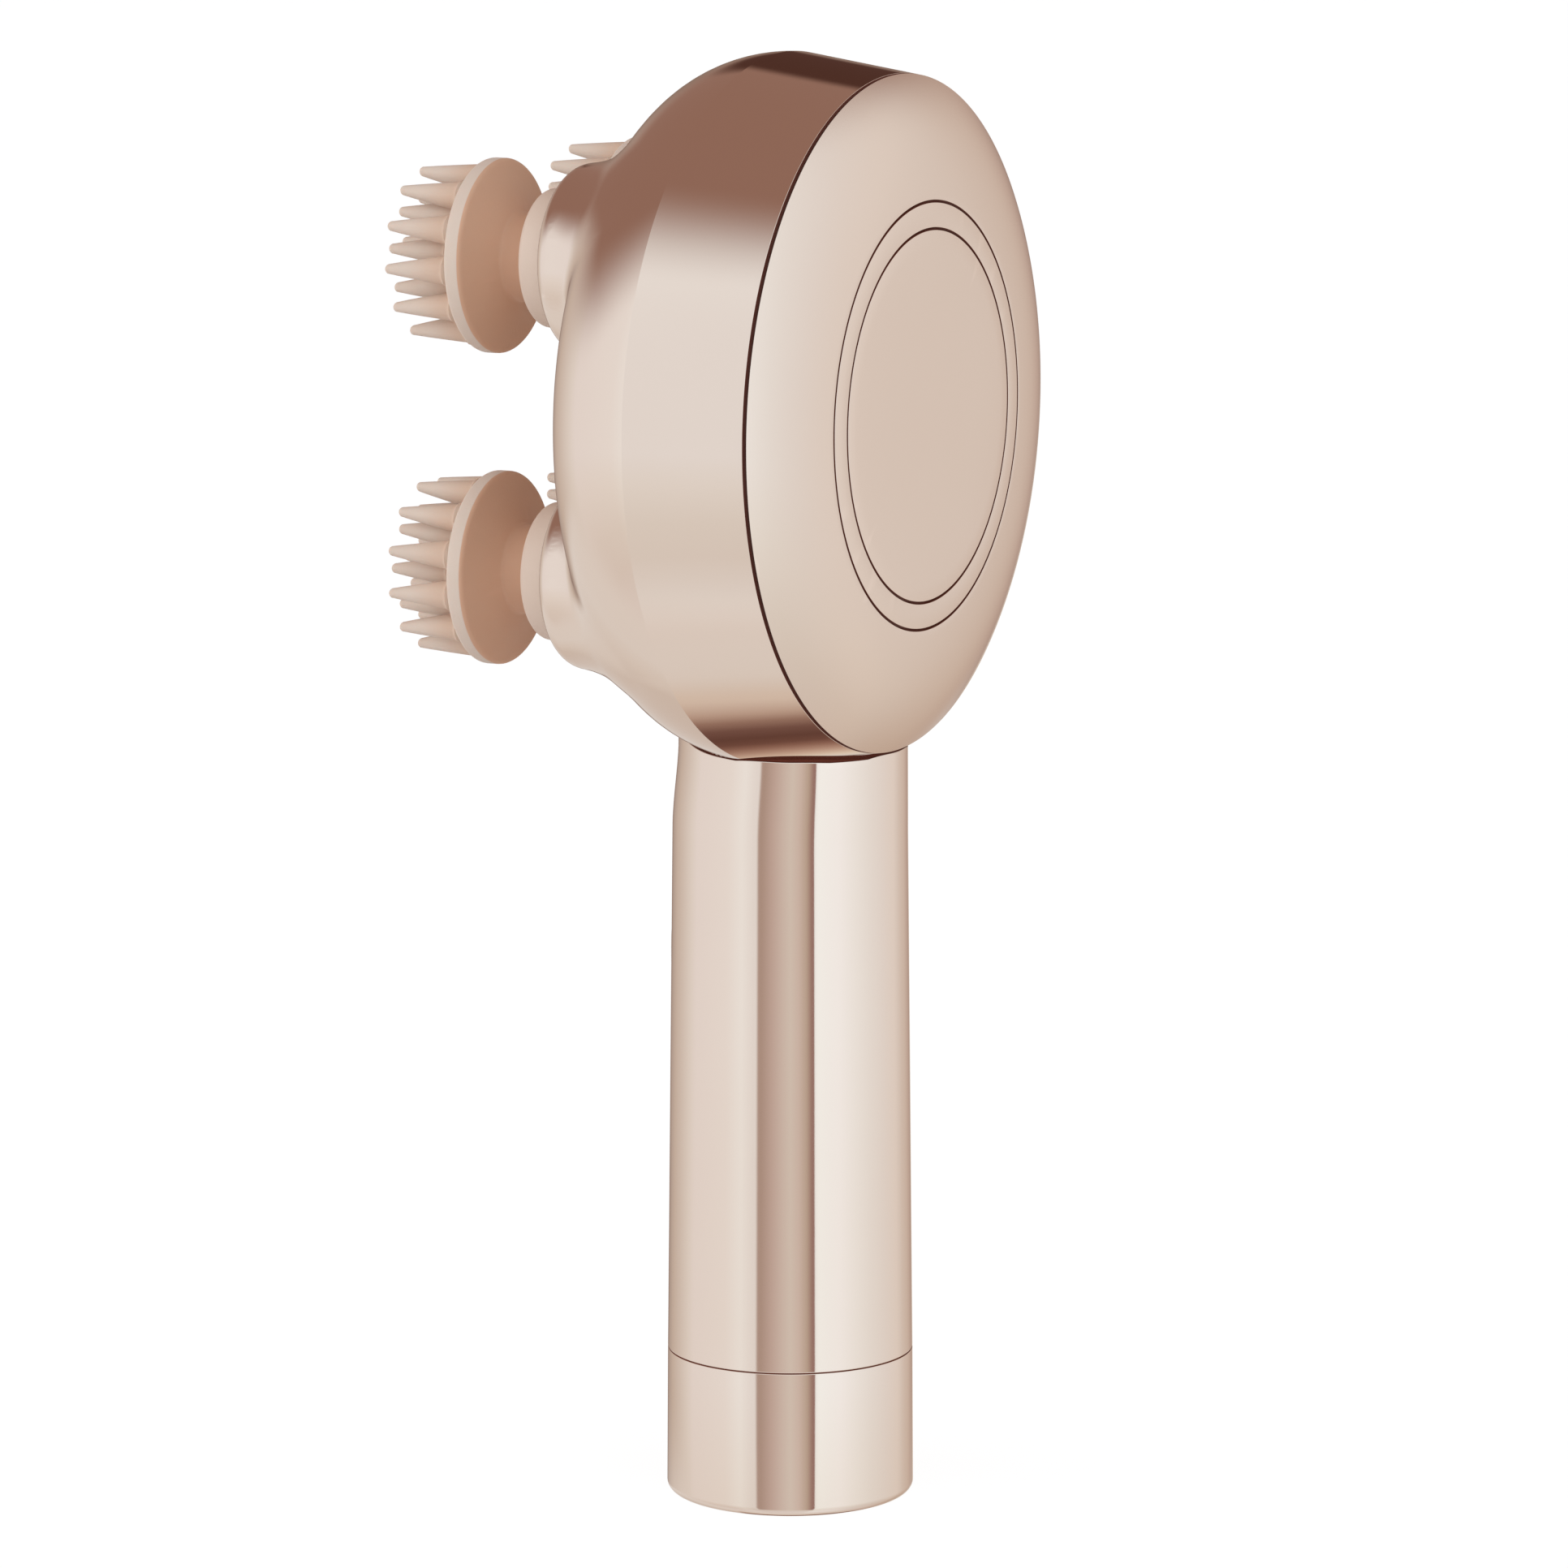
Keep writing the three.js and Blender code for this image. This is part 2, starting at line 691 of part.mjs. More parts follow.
// Silicone disc with a stub behind and rings of round-tipped spikes in front
function makeMassagePad(turn) {
  const backY = padFrontY + padRimThickness;
  const disc = [
    [0, collarFrontY + collarSocketDepth - fit],
    [stubRadius, collarFrontY + collarSocketDepth - fit],
    [stubRadius, backY + padConeDepth],
    [padRadius - padRimRounding, backY],
    [padRadius, backY - padRimRounding],
    [padRadius, padFrontY + padFrontRounding],
    [padRadius - padFrontRounding, padFrontY],
    [padRadius * 0.7, crownAt(padRadius * 0.7)],
    [padRadius * 0.4, crownAt(padRadius * 0.4)],
    [0, crownAt(0)],
  ];
  let pad = turnedAboutY(disc, padFacets);
  for (const { count, radius, firstAngle, extraLength } of spikeRings) {
    const rootY = crownAt(radius) + spikeRootDepth;
    const tipY = crownAt(radius) - spikeLength - extraLength;
    const spike = [
      [0, rootY],
      [spikeBaseRadius, rootY],
      [spikeTipRadius, tipY + spikeTipRadius],
      [0, tipY],
    ];
    for (let i = 0; i < count; i += 1) {
      const angle = THREE.MathUtils.degToRad(firstAngle + turn + (360 * i) / count);
      const [x, z] = [radius * Math.cos(angle), radius * Math.sin(angle)];
      pad = pad.add(turnedAboutY(spike, spikeFacets, x, z));
    }
  }
  return pad;
}

// Tapered tube with a saddle at the top that follows the drum
function makeHandleShell() {
  const topZ = headCentreZ - frontRadius + bulkheadThickness;
  const scooped = neckRadius - scoopDepth / 2;
  const scoopKneeZ = scoopStartZ + (scoopEndZ - scoopStartZ) / 3;
  const knee = scoopDepth / 10;
  const outside = stackedCircles(
    [
      { z: handleBottomZ, radius: handleRadiusAt(handleBottomZ) },
      { z: scoopStartZ, radius: neckRadius },
      { z: scoopKneeZ, radius: neckRadius - knee, centreY: knee },
      { z: scoopEndZ, radius: scooped, centreY: scoopDepth / 2 },
      { z: topZ, radius: scooped, centreY: scoopDepth / 2 },
    ],
    handleFacets,
  );
  const cavity = stackedCircles(
    [
      { z: handleBottomZ - 1, radius: shellInnerRadiusAt(handleBottomZ) },
      { z: bulkheadZ, radius: shellInnerRadiusAt(bulkheadZ) },
    ],
    handleFacets,
  );
  const pocketProfile = rodProfile(scooped - handleWall - fit, bulkheadTopZ, topZ + 1);
  const pocket = turnedAboutZ(pocketProfile, handleFacets, 0, scoopDepth / 2);
  const boreProfile = rodProfile(spigotRadius + fit, bulkheadZ - 1, bulkheadTopZ + 1);
  const bore = turnedAboutZ(boreProfile, lobeFacets);
  const headBlank = turnedAboutY(headOutline(saddleGap, rimY, 6), drumFacets, 0, headCentreZ);
  const rimProfile = rodProfile(rimRadius + saddleGap, rimY - 1, rimY + neckRadius);
  const behindRim = turnedAboutY(rimProfile, drumFacets, 0, headCentreZ);
  const holeWidth = bezelWidth + closeFit * 2;
  const holeHeight = bezelHeight + closeFit * 2;
  const buttonHole = slotAlongY(holeWidth, holeHeight, outsideY, -neckRadius / 2, buttonZ);
  const lightProfile = rodProfile(lightRadius + closeFit, outsideY, -neckRadius / 2);
  const lightHole = turnedAboutY(lightProfile, smallFacets, 0, buttonZ - lightBelowButton);
  return outside
    .subtract(cavity)
    .subtract(pocket)
    .subtract(bore)
    .subtract(headBlank)
    .subtract(behindRim)
    .subtract(buttonHole)
    .subtract(lightHole);
}

function makeNeckNut() {
  const inner = spigotRadius + closeFit;
  const top = bulkheadZ - fit;
  const reach = inner + nutWidth;
  const middleZ = top - nutThickness / 2;
  let nut = turnedAboutZ(ringProfile(inner, reach, top - nutThickness, top), middleFacets);
  for (let i = 0; i < 4; i += 1) {
    const angle = Math.PI / 4 + (i * Math.PI) / 2;
    const notch = new THREE.BoxGeometry(nutNotch, nutNotch, nutThickness + 2).rotateZ(angle);
    notch.translate(reach * Math.cos(angle), reach * Math.sin(angle), middleZ);
    nut = nut.subtract(solidOf(notch));
  }
  return nut;
}

function makeNeckSeal() {
  const inner = spigotRadius + fit;
  const floor = bulkheadTopZ + closeFit;
  const profile = ringProfile(inner, inner + neckSealWidth, floor, floor + neckSealThickness);
  return turnedAboutZ(profile, middleFacets);
}

// Cup-shaped end cap: rounded base, spigot with a seal groove, socket opening and board posts
function makeEndCap() {
  const seamZ = capHeight - seamGap / 2;
  const boreRadius = capSpigotRadius - capSpigotWall;
  const grooveHalf = sealSectionRadius + closeFit;
  const grooveFloor = capSpigotRadius - sealGrooveDepth;
  const innerRadius = baseRadius - handleWall;
  const flatRadius = baseRadius - baseFillet;
  const stepZ = seamZ - capStepDepth;
  const profile = [[0, 0], [flatRadius, 0]];
  const arcSteps = 3;
  for (let i = 1; i <= arcSteps; i += 1) {
    const angle = (Math.PI / 2) * (i / arcSteps);
    profile.push([flatRadius + baseFillet * Math.sin(angle), baseFillet * (1 - Math.cos(angle))]);
  }
  profile.push(
    [seamRadius, seamZ],
    [capSpigotRadius, seamZ],
    [capSpigotRadius, sealGrooveZ - grooveHalf],
    [grooveFloor, sealGrooveZ - grooveHalf],
    [grooveFloor, sealGrooveZ + grooveHalf],
    [capSpigotRadius, sealGrooveZ + grooveHalf],
    [capSpigotRadius, capSpigotTopZ],
    [boreRadius, capSpigotTopZ],
    [boreRadius, stepZ],
    [innerRadius, stepZ - (innerRadius - boreRadius)],
    [innerRadius, capFloor],
    [0, capFloor],
  );
  const play = closeFit * 2;
  const recessTop = plugHeadInset + plugHeadThickness + closeFit;
  const postX = chargeBoardRadius - boardPostRadius - boardPostInset;
  const postProfile = rodProfile(boardPostRadius, capFloor - 1, chargeBoardZ - closeFit);
  return turnedAboutZ(profile, handleFacets)
    .subtract(slotAlongZ(portWidth + play, portHeight + play, -1, capFloor + 1, portY))
    .subtract(slotAlongZ(plugHeadWidth + play, plugHeadHeight + play, -1, recessTop, portY))
    .add(turnedAboutZ(postProfile, smallFacets, -postX, boardPostY))
    .add(turnedAboutZ(postProfile, smallFacets, postX, boardPostY));
}

function makeCapSeal() {
  const centreRadius = capSpigotRadius - sealGrooveDepth + closeFit + sealSectionRadius;
  const profile = [];
  const steps = 6;
  for (let i = 0; i < steps; i += 1) {
    const angle = (2 * Math.PI * i) / steps;
    profile.push([
      centreRadius + sealSectionRadius * Math.cos(angle),
      sealGrooveZ + sealSectionRadius * Math.sin(angle),
    ]);
  }
  return turnedAboutZ(profile, handleFacets);
}

function makeUsbPort() {
  const endZ = portMouthZ + portLength;
  const outer = slotAlongZ(portWidth, portHeight, portMouthZ, endZ, portY);
  const hollowWidth = portWidth - portShell * 2;
  const hollowHeight = portHeight - portShell * 2;
  const hollow = slotAlongZ(hollowWidth, hollowHeight, portMouthZ - 1, endZ - portBackWall, portY);
  const tongueStart = portMouthZ + tongueSetback;
  const tongueEnd = endZ - portBackWall / 2;
  const tongueMiddle = (tongueEnd + tongueStart) / 2;
  const tongueLength = tongueEnd - tongueStart;
  const tongue = block(tongueWidth, tongueThickness, tongueLength, 0, portY, tongueMiddle);
  return outer.subtract(hollow).add(tongue);
}

function makePortPlug() {
  const headTop = plugHeadInset + plugHeadThickness;
  const plugHead = slotAlongZ(plugHeadWidth, plugHeadHeight, plugHeadInset, headTop, portY);
  const inset = (portShell + closeFit) * 2;
  const bungBottom = headTop - plugHeadThickness / 2;
  const bungTop = headTop + plugBungLength;
  return plugHead.add(slotAlongZ(portWidth - inset, portHeight - inset, bungBottom, bungTop, portY));
}

function makeChargeBoard() {
  const profile = rodProfile(chargeBoardRadius, chargeBoardZ, chargeBoardZ + boardThickness);
  return turnedAboutZ(profile, middleFacets);
}

function makeBattery() {
  const top = batteryBottomZ + batteryLength;
  const profile = [
    [0, batteryBottomZ],
    [batteryRadius - batteryBaseRounding, batteryBottomZ],
    [batteryRadius, batteryBottomZ + batteryBaseRounding],
    [batteryRadius, top - batteryTopStep * 2],
    [batteryRadius - batteryTopStep, top - batteryTopStep],
    [batteryTerminalRadius, top - batteryTopStep],
    [batteryTerminalRadius, top],
    [0, top],
  ];
  return turnedAboutZ(profile, middleFacets, 0, batteryCentreY);
}

// Frame that carries the cell and the board: two round plates, a front wall and two rails
function makeBatteryTray() {
  const trayPlateRadius = shellInnerRadiusAt(trayTopZ + trayPlate) - fit;
  const height = trayTopZ + trayPlate - trayBottomZ;
  const middleZ = trayBottomZ + height / 2;
  const railX = batteryRadius + fit + trayWall / 2;
  const plateAt = (z) => turnedAboutZ(rodProfile(trayPlateRadius, z, z + trayPlate), middleFacets);
  let tray = plateAt(trayBottomZ).add(plateAt(trayTopZ));
  tray = tray.add(block(railX * 2, trayWall, height, 0, trayFrontY + trayWall / 2, middleZ));
  const railDepth = batteryCentreY - trayFrontY;
  const railY = trayFrontY + railDepth / 2;
  for (const side of [-1, 1]) {
    tray = tray.add(block(trayWall, railDepth, height, side * railX, railY, middleZ));
  }
  const gapDepth = neckRadius + trayFrontY + leadGapReach;
  const gapY = trayFrontY + leadGapReach - gapDepth / 2;
  const leadGap = block(leadGapWidth, gapDepth, trayPlate * 2, 0, gapY, trayTopZ + trayPlate);
  const lowerLeadGap = block(leadGapWidth, gapDepth, trayPlate * 3, 0, gapY - leadGapReach, trayBottomZ);
  return tray.subtract(leadGap).subtract(lowerLeadGap);
}

function makeMainBoard() {
  const [y, z] = [boardFrontY + boardThickness / 2, boardBottomZ + boardLength / 2];
  return block(boardWidth, boardThickness, boardLength, 0, y, z);
}

function makeTactSwitch() {
  const y = switchFrontY + switchBodyDepth / 2;
  const body = block(switchBodySize, switchBodyDepth, switchBodySize, 0, y, buttonZ);
  const boreEnd = switchFrontY + plungerSeat + buttonTravel + fit;
  const bore = rodProfile(plungerRadius + closeFit, switchFrontY - 1, boreEnd);
  return body.subtract(turnedAboutY(bore, smallFacets, 0, buttonZ));
}

function makeSwitchPlunger() {
  const profile = rodProfile(plungerRadius, switchFrontY - plungerLength, switchFrontY + plungerSeat);
  return turnedAboutY(profile, smallFacets, 0, buttonZ);
}

// A slot-shaped plug cut to the curve of the handle's surface
function curvedSlot(width, height, surfaceRadius, innerY) {
  const prism = slotAlongY(width, height, outsideY, innerY, buttonZ);
  const barrelProfile = rodProfile(surfaceRadius, buttonZ - height, buttonZ + height);
  return prism.intersect(turnedAboutZ(barrelProfile, handleFacets));
}

function makeButtonBezel() {
  const innerY = bezelDepth - buttonSurface;
  const [holeWidth, holeHeight] = [bezelWidth - bezelBand * 2, bezelHeight - bezelBand * 2];
  const hole = slotAlongY(holeWidth, holeHeight, outsideY, innerY + 1, buttonZ);
  return curvedSlot(bezelWidth, bezelHeight, buttonSurface, innerY).subtract(hole);
}

function makePowerButton() {
  const width = bezelWidth - bezelBand * 2 - fit * 2;
  const height = bezelHeight - bezelBand * 2 - fit * 2;
  const flangeY = bezelDepth + closeFit - buttonSurface;
  const flangeEndY = flangeY + buttonFlangeThickness;
  const flangeMiddleY = (flangeY + flangeEndY) / 2;
  const [flangeWidth, flangeHeight] = [width + buttonFlange * 2, height + buttonFlange * 2];
  const stemEndY = switchFrontY - plungerLength - closeFit;
  const stem = rodProfile(buttonStemRadius, flangeMiddleY, stemEndY);
  return curvedSlot(width, height, buttonSurface + buttonProud, flangeMiddleY)
    .add(slotAlongY(flangeWidth, flangeHeight, flangeY, flangeEndY, buttonZ))
    .add(turnedAboutY(stem, smallFacets, 0, buttonZ));
}

function makeStatusLight() {
  const z = buttonZ - lightBelowButton;
  const frontEndY = closeFit - handleRadiusAt(z);
  const profile = rodProfile(lightRadius, frontEndY, boardFrontY - closeFit);
  return turnedAboutY(profile, smallFacets, 0, z);
}

// A wire of round section along chosen points
function makeLead(points) {
  const section = new THREE.Shape();
  section.absarc(0, 0, leadRadius, 0, 2 * Math.PI);
  const curve = new THREE.CatmullRomCurve3(points.map(([x, y, z]) => new THREE.Vector3(x, y, z)));
  const options = { steps: leadSteps, curveSegments: 4, bevelEnabled: false, extrudePath: curve };
  return solidOf(new THREE.ExtrudeGeometry(section, options));
}

// Points of a motor wire in the shared frame, from the motor's side to the board's front
function motorLeadPoints(side) {
  const x = (side * leadSpacing) / 2;
  const motorSideZ = headCentreZ - Math.sqrt(motorRadius ** 2 - x ** 2) - leadRadius;
  const neckEntryZ = headCentreZ - creaseRadius + leadAboveDrumBottom;
  return [
    [x, motorY + motorLength / 2, motorSideZ],
    [x, motorY + 1, (motorSideZ + neckEntryZ) / 2],
    [x, 4, neckEntryZ],
    [x, 0, bulkheadZ],
    [x, trayFrontY + 2.4, trayTopZ + trayPlate + 0.2],
    [x, boardFrontY - 2.5, trayTopZ - 1],
    [x, boardFrontY - leadRadius - fit, boardTopZ - 4],
  ];
}

function chargeLeadPoints(side) {
  const x = (side * leadSpacing) / 2;
  const y = boardFrontY - leadRadius * 2 - 1;
  return [
    [x, boardFrontY - leadRadius - fit, boardBottomZ + 4],
    [x, y, trayBottomZ],
    [x, y, chargeBoardZ + boardThickness + 4],
    [x, y, chargeBoardZ + boardThickness + fit],
  ];
}

const group = new THREE.Group();
const head = new THREE.Group();
head.position.set(0, 0, headCentreZ);
const handle = new THREE.Group();
group.add(head, handle);

function addPart(parent, name, solid, material, x = 0, z = 0) {
  const mesh = new THREE.Mesh(geometryOf(solid), material);
  mesh.name = name;
  mesh.position.set(x, 0, z);
  parent.add(mesh);
}

addPart(head, "head_shell", makeHeadShell(), champagne);
addPart(head, "back_cover", makeBackCover(), champagneFlat);
addPart(head, "cover_ring", makeCoverRing(), champagneFlat);
addPart(head, "cover_plate", makeCoverPlate(), champagneFlat);
addPart(head, "cover_gasket", makeCoverGasket(), blackRubber);
addPart(head, "gear_plate", makeGearPlate(), greyPlastic);
addPart(head, "motor_gearbox", makeMotorGearbox(), steel);
addPart(head, "motor_can", makeMotorCan(), steel);
addPart(head, "sun_shaft", makeSunShaft(), steel);
addPart(head, "sun_gear", makeGear(sunTeeth, Math.PI / 4, sunShaftRadius + closeFit), whitePlastic);
for (const { number, x, z } of postCentres) {
  addPart(head, `plate_screw_${number}`, makePlateScrew(), steel, x, z);
}
for (const { number, x, z } of driveCentres) {
  // A gap between two teeth faces the sun's tooth
  const towardSun = Math.atan2(-z, -x);
  const firstTooth = towardSun + Math.PI / outputTeeth;
  const outputGear = makeGear(outputTeeth, firstTooth, shaftRadius + closeFit);
  addPart(head, `output_gear_${number}`, outputGear, whitePlastic, x, z);
  addPart(head, `drive_shaft_${number}`, makeDriveShaft(), steel, x, z);
  addPart(head, `shaft_bush_${number}`, makeShaftBush(), bronze, x, z);
  addPart(head, `shaft_seal_${number}`, makeShaftSeal(), blackRubber, x, z);
  addPart(head, `drive_collar_${number}`, makeDriveCollar(), mattePlastic, x, z);
  addPart(head, `massage_pad_${number}`, makeMassagePad(padTurns[number - 1]), silicone, x, z);
}
addPart(handle, "handle_shell", makeHandleShell(), champagne);
addPart(handle, "neck_nut", makeNeckNut(), bronze);
addPart(handle, "neck_seal", makeNeckSeal(), blackRubber);
addPart(handle, "end_cap", makeEndCap(), champagne);
addPart(handle, "cap_seal", makeCapSeal(), blackRubber);
addPart(handle, "usb_port", makeUsbPort(), steel);
addPart(handle, "port_plug", makePortPlug(), silicone);
addPart(handle, "charge_board", makeChargeBoard(), copperGreen);
addPart(handle, "battery_tray", makeBatteryTray(), whitePlastic);
addPart(handle, "battery", makeBattery(), batteryWrap);
addPart(handle, "main_board", makeMainBoard(), copperGreen);
addPart(handle, "tact_switch", makeTactSwitch(), greyPlastic);
addPart(handle, "switch_plunger", makeSwitchPlunger(), blackRubber);
addPart(handle, "button_bezel", makeButtonBezel(), champagneFlat);
addPart(handle, "power_button", makePowerButton(), champagne);
addPart(handle, "status_light", makeStatusLight(), lightPipe);
addPart(handle, "motor_lead_red", makeLead(motorLeadPoints(-1)), redWire);
addPart(handle, "motor_lead_black", makeLead(motorLeadPoints(1)), blackWire);
addPart(handle, "charge_lead_red", makeLead(chargeLeadPoints(-1)), redWire);
addPart(handle, "charge_lead_black", makeLead(chargeLeadPoints(1)), blackWire);

export default group;
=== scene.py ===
# %% [markdown]
# # A hand-held scalp massager
# A round tapered handle carries a drum-shaped head. Four lobes grow out of the head's front, and in
# front of each lobe a matte collar turns a silicone head with 24 soft spikes. Everything hard is
# moulded plastic with a champagne plating, so the looks depend on very smooth surfaces and on what
# they mirror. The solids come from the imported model; this file makes the fine surfaces over them.

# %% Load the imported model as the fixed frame
import json
import math

import bmesh
import bpy
import numpy as np
from mathutils import Matrix, Vector
from mathutils.geometry import delaunay_2d_cdt


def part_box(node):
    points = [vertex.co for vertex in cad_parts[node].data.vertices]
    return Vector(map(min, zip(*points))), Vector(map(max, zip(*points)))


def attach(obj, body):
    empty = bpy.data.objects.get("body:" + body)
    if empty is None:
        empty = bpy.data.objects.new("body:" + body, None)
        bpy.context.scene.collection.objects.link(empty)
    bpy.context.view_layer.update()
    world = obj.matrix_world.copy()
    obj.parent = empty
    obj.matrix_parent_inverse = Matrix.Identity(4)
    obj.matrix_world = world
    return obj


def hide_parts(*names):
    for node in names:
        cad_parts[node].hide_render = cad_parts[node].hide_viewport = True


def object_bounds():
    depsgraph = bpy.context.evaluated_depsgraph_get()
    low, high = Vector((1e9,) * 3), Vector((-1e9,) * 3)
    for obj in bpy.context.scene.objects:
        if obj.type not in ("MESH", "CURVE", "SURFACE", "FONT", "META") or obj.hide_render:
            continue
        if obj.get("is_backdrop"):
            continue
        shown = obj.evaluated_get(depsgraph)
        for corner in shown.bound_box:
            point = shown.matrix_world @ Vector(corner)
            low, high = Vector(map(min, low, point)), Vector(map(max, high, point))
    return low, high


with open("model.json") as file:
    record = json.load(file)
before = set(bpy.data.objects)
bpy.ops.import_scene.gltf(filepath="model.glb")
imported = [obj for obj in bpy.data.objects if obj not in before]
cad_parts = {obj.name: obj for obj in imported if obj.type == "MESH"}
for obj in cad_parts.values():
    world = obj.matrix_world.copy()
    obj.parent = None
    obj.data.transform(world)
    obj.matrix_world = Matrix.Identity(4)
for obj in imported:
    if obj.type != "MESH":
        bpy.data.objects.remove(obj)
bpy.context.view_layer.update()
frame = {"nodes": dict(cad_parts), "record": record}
MM = 0.001

# %% [markdown]
# ## Camera
# The photograph was taken from behind and to the side, a little above the head, with a long lens.
# A camera could be placed by eye, but here its turn, tilt, distance and lens were worked out from
# the ellipses of the cover and the base, so it is written as those four facts and an aim point.
# Lengths in this cell are in metres, which is what Blender works in.

# %% Camera
PHOTO_PIXELS = 1932
FOCAL_PIXELS = 9000
SENSOR_WIDTH = 36
CAMERA_TURN = math.radians(116.4)
CAMERA_TILT = math.radians(9.46)
CAMERA_DISTANCE = 1.062
AIM_HEIGHT = 0.10515
AIM_SIDE = -0.00092

view_right = Vector((math.cos(CAMERA_TURN), math.sin(CAMERA_TURN), 0))
view_level = Vector((math.sin(CAMERA_TURN), -math.cos(CAMERA_TURN), 0))
view_back = view_level * math.cos(CAMERA_TILT) + Vector((0, 0, math.sin(CAMERA_TILT)))
camera_data = bpy.data.cameras.new("camera")
camera_data.sensor_width = SENSOR_WIDTH
camera_data.lens = FOCAL_PIXELS * SENSOR_WIDTH / PHOTO_PIXELS
camera = bpy.data.objects.new("camera", camera_data)
bpy.context.scene.collection.objects.link(camera)
aim = Vector((0, 0, AIM_HEIGHT)) + view_right * AIM_SIDE
camera.location = aim + view_back * CAMERA_DISTANCE
camera.rotation_euler = view_back.to_track_quat("Z", "Y").to_euler()
bpy.context.scene.camera = camera
print("lens in mm", round(camera_data.lens, 1))

# %% [markdown]
# ## Sizes
# The fine pieces take their sizes from the solids where a box gives them, such as the height of the
# head's axis or the radius of the handle's foot. The rest are the same few sizes in millimetres
# that the solids were drawn with.

# %% Sizes shared by the pieces, in millimetres
def box_mm(node):
    low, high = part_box(node)
    return low / MM, high / MM


plate_low, plate_high = box_mm("cover_plate")
HEAD_Z = (plate_low.z + plate_high.z) / 2
COVER_TOP = plate_high.y
RIM_RADIUS = 48.6
RIM_Y = COVER_TOP - 5
CREASE_RADIUS = 51.3
CREASE_Y = -0.6
SHELL_WALL = 2
LOBE_END = -22.8
DRUM_SEGMENTS = 256
TOUCHING = 0.01
LOBE_CENTRES = []
for number in (1, 2, 3, 4):
    low, high = box_mm(f"drive_collar_{number}")
    LOBE_CENTRES.append(((low.x + high.x) / 2, (low.z + high.z) / 2 - HEAD_Z))
rounded_centres = [(round(x, 1), round(z, 1)) for x, z in LOBE_CENTRES]
print("head axis at", round(HEAD_Z, 2), "lobe centres", rounded_centres)

# %% [markdown]
# ## Tools for making pieces
# Most hard pieces are turned shapes, so one helper turns an outline into a closed mesh, another
# rounds the outline's corners the way a mould would, and a third stacks outlines that aren't round.
# Modifiers could do the rounding, but on mirror-like plating the exact outline gives calmer
# reflections than a bevel.

# %% Make a piece, turn its faces outward, and shade it smooth between its sharp edges
MERGE_DISTANCE = 1e-7
SHARP_ABOVE = 32


def add_piece(name, points, faces, materials):
    mesh = bpy.data.meshes.new(name)
    mesh.from_pydata([tuple(c * MM for c in point) for point in points], [], faces)
    for material in materials:
        mesh.materials.append(material)
    mesh.update()
    piece = bpy.data.objects.new(name, mesh)
    bpy.context.scene.collection.objects.link(piece)
    return piece


def face_outward(piece):
    work = bmesh.new()
    work.from_mesh(piece.data)
    bmesh.ops.remove_doubles(work, verts=work.verts, dist=MERGE_DISTANCE)
    bmesh.ops.recalc_face_normals(work, faces=work.faces)
    work.to_mesh(piece.data)
    work.free()


def soften(piece, sharp_above=SHARP_ABOVE):
    piece.data.shade_smooth()
    piece.data.set_sharp_from_angle(angle=math.radians(sharp_above))


print("edges stay sharp above", SHARP_ABOVE, "degrees")

# %% Round the corners of an outline
def rounded(corners, steps=5):
    """Turns corners of (radius, height, rounding) into an outline with small arcs."""
    outline = []
    for i, (radius, height, rounding) in enumerate(corners):
        here = Vector((radius, height))
        if rounding == 0:
            outline.append(here)
            continue
        to_last = (Vector(corners[i - 1][:2]) - here).normalized()
        to_next = (Vector(corners[(i + 1) % len(corners)][:2]) - here).normalized()
        half = to_last.angle(to_next) / 2
        centre = here + (to_last + to_next).normalized() * (rounding / math.sin(half))
        start = here + to_last * (rounding / math.tan(half)) - centre
        end = here + to_next * (rounding / math.tan(half)) - centre
        turn = start.angle_signed(end)
        for step in range(steps + 1):
            outline.append(centre + Matrix.Rotation(-turn * step / steps, 2) @ start)
    return [(max(point.x, 0), point.y) for point in outline]


one_corner = rounded([(0, 0, 0), (10, 0, 1), (10, 10, 0)])
print("points on a rounded corner", len(one_corner) - 2)

# %% Turn an outline
ON_AXIS = 1e-6


def turned(outline, axis, centre, segments, ring=False):
    """Points and faces of an outline turned about a line along Y or Z through centre."""
    points, rings = [], []
    for radius, height in outline:
        count = 1 if radius < ON_AXIS else segments
        rings.append(range(len(points), len(points) + count))
        for i in range(count):
            angle = 2 * math.pi * i / segments
            across = centre[0] + radius * math.cos(angle)
            along = centre[1] + radius * math.sin(angle)
            points.append((across, height, along) if axis == "Y" else (across, along, height))
    faces = []
    pairs = list(zip(rings, rings[1:]))
    if ring:
        pairs.append((rings[-1], rings[0]))
    for low, high in pairs:
        for i in range(segments):
            j = (i + 1) % segments
            corners = [low[i % len(low)], low[j % len(low)], high[j % len(high)], high[i % len(high)]]
            corners = list(dict.fromkeys(corners))
            if len(corners) > 2:
                faces.append(corners)
    return points, faces


def turned_piece(name, outline, axis, centre, segments, materials, ring=False):
    piece = add_piece(name, *turned(outline, axis, centre, segments, ring), materials)
    face_outward(piece)
    soften(piece)
    return piece


print("faces of a turned cone", len(turned([(0, 0), (5, 0), (0, 9)], "Z", (0, 0), 16)[1]))

# %% Stack outlines that aren't round
def stacked(layers, ring=False):
    """Faces between equal loops of points; the ends are closed, or joined to each other for a ring."""
    count = len(layers[0])
    points = [point for layer in layers for point in layer]
    faces = []
    pairs = list(zip(range(len(layers)), range(1, len(layers))))
    if ring:
        pairs.append((len(layers) - 1, 0))
    for low, high in pairs:
        for i in range(count):
            j = (i + 1) % count
            faces.append([low * count + i, low * count + j, high * count + j, high * count + i])
    if not ring:
        faces.append(list(range(count)))
        faces.append(list(range(len(points) - count, len(points))))
    return points, faces


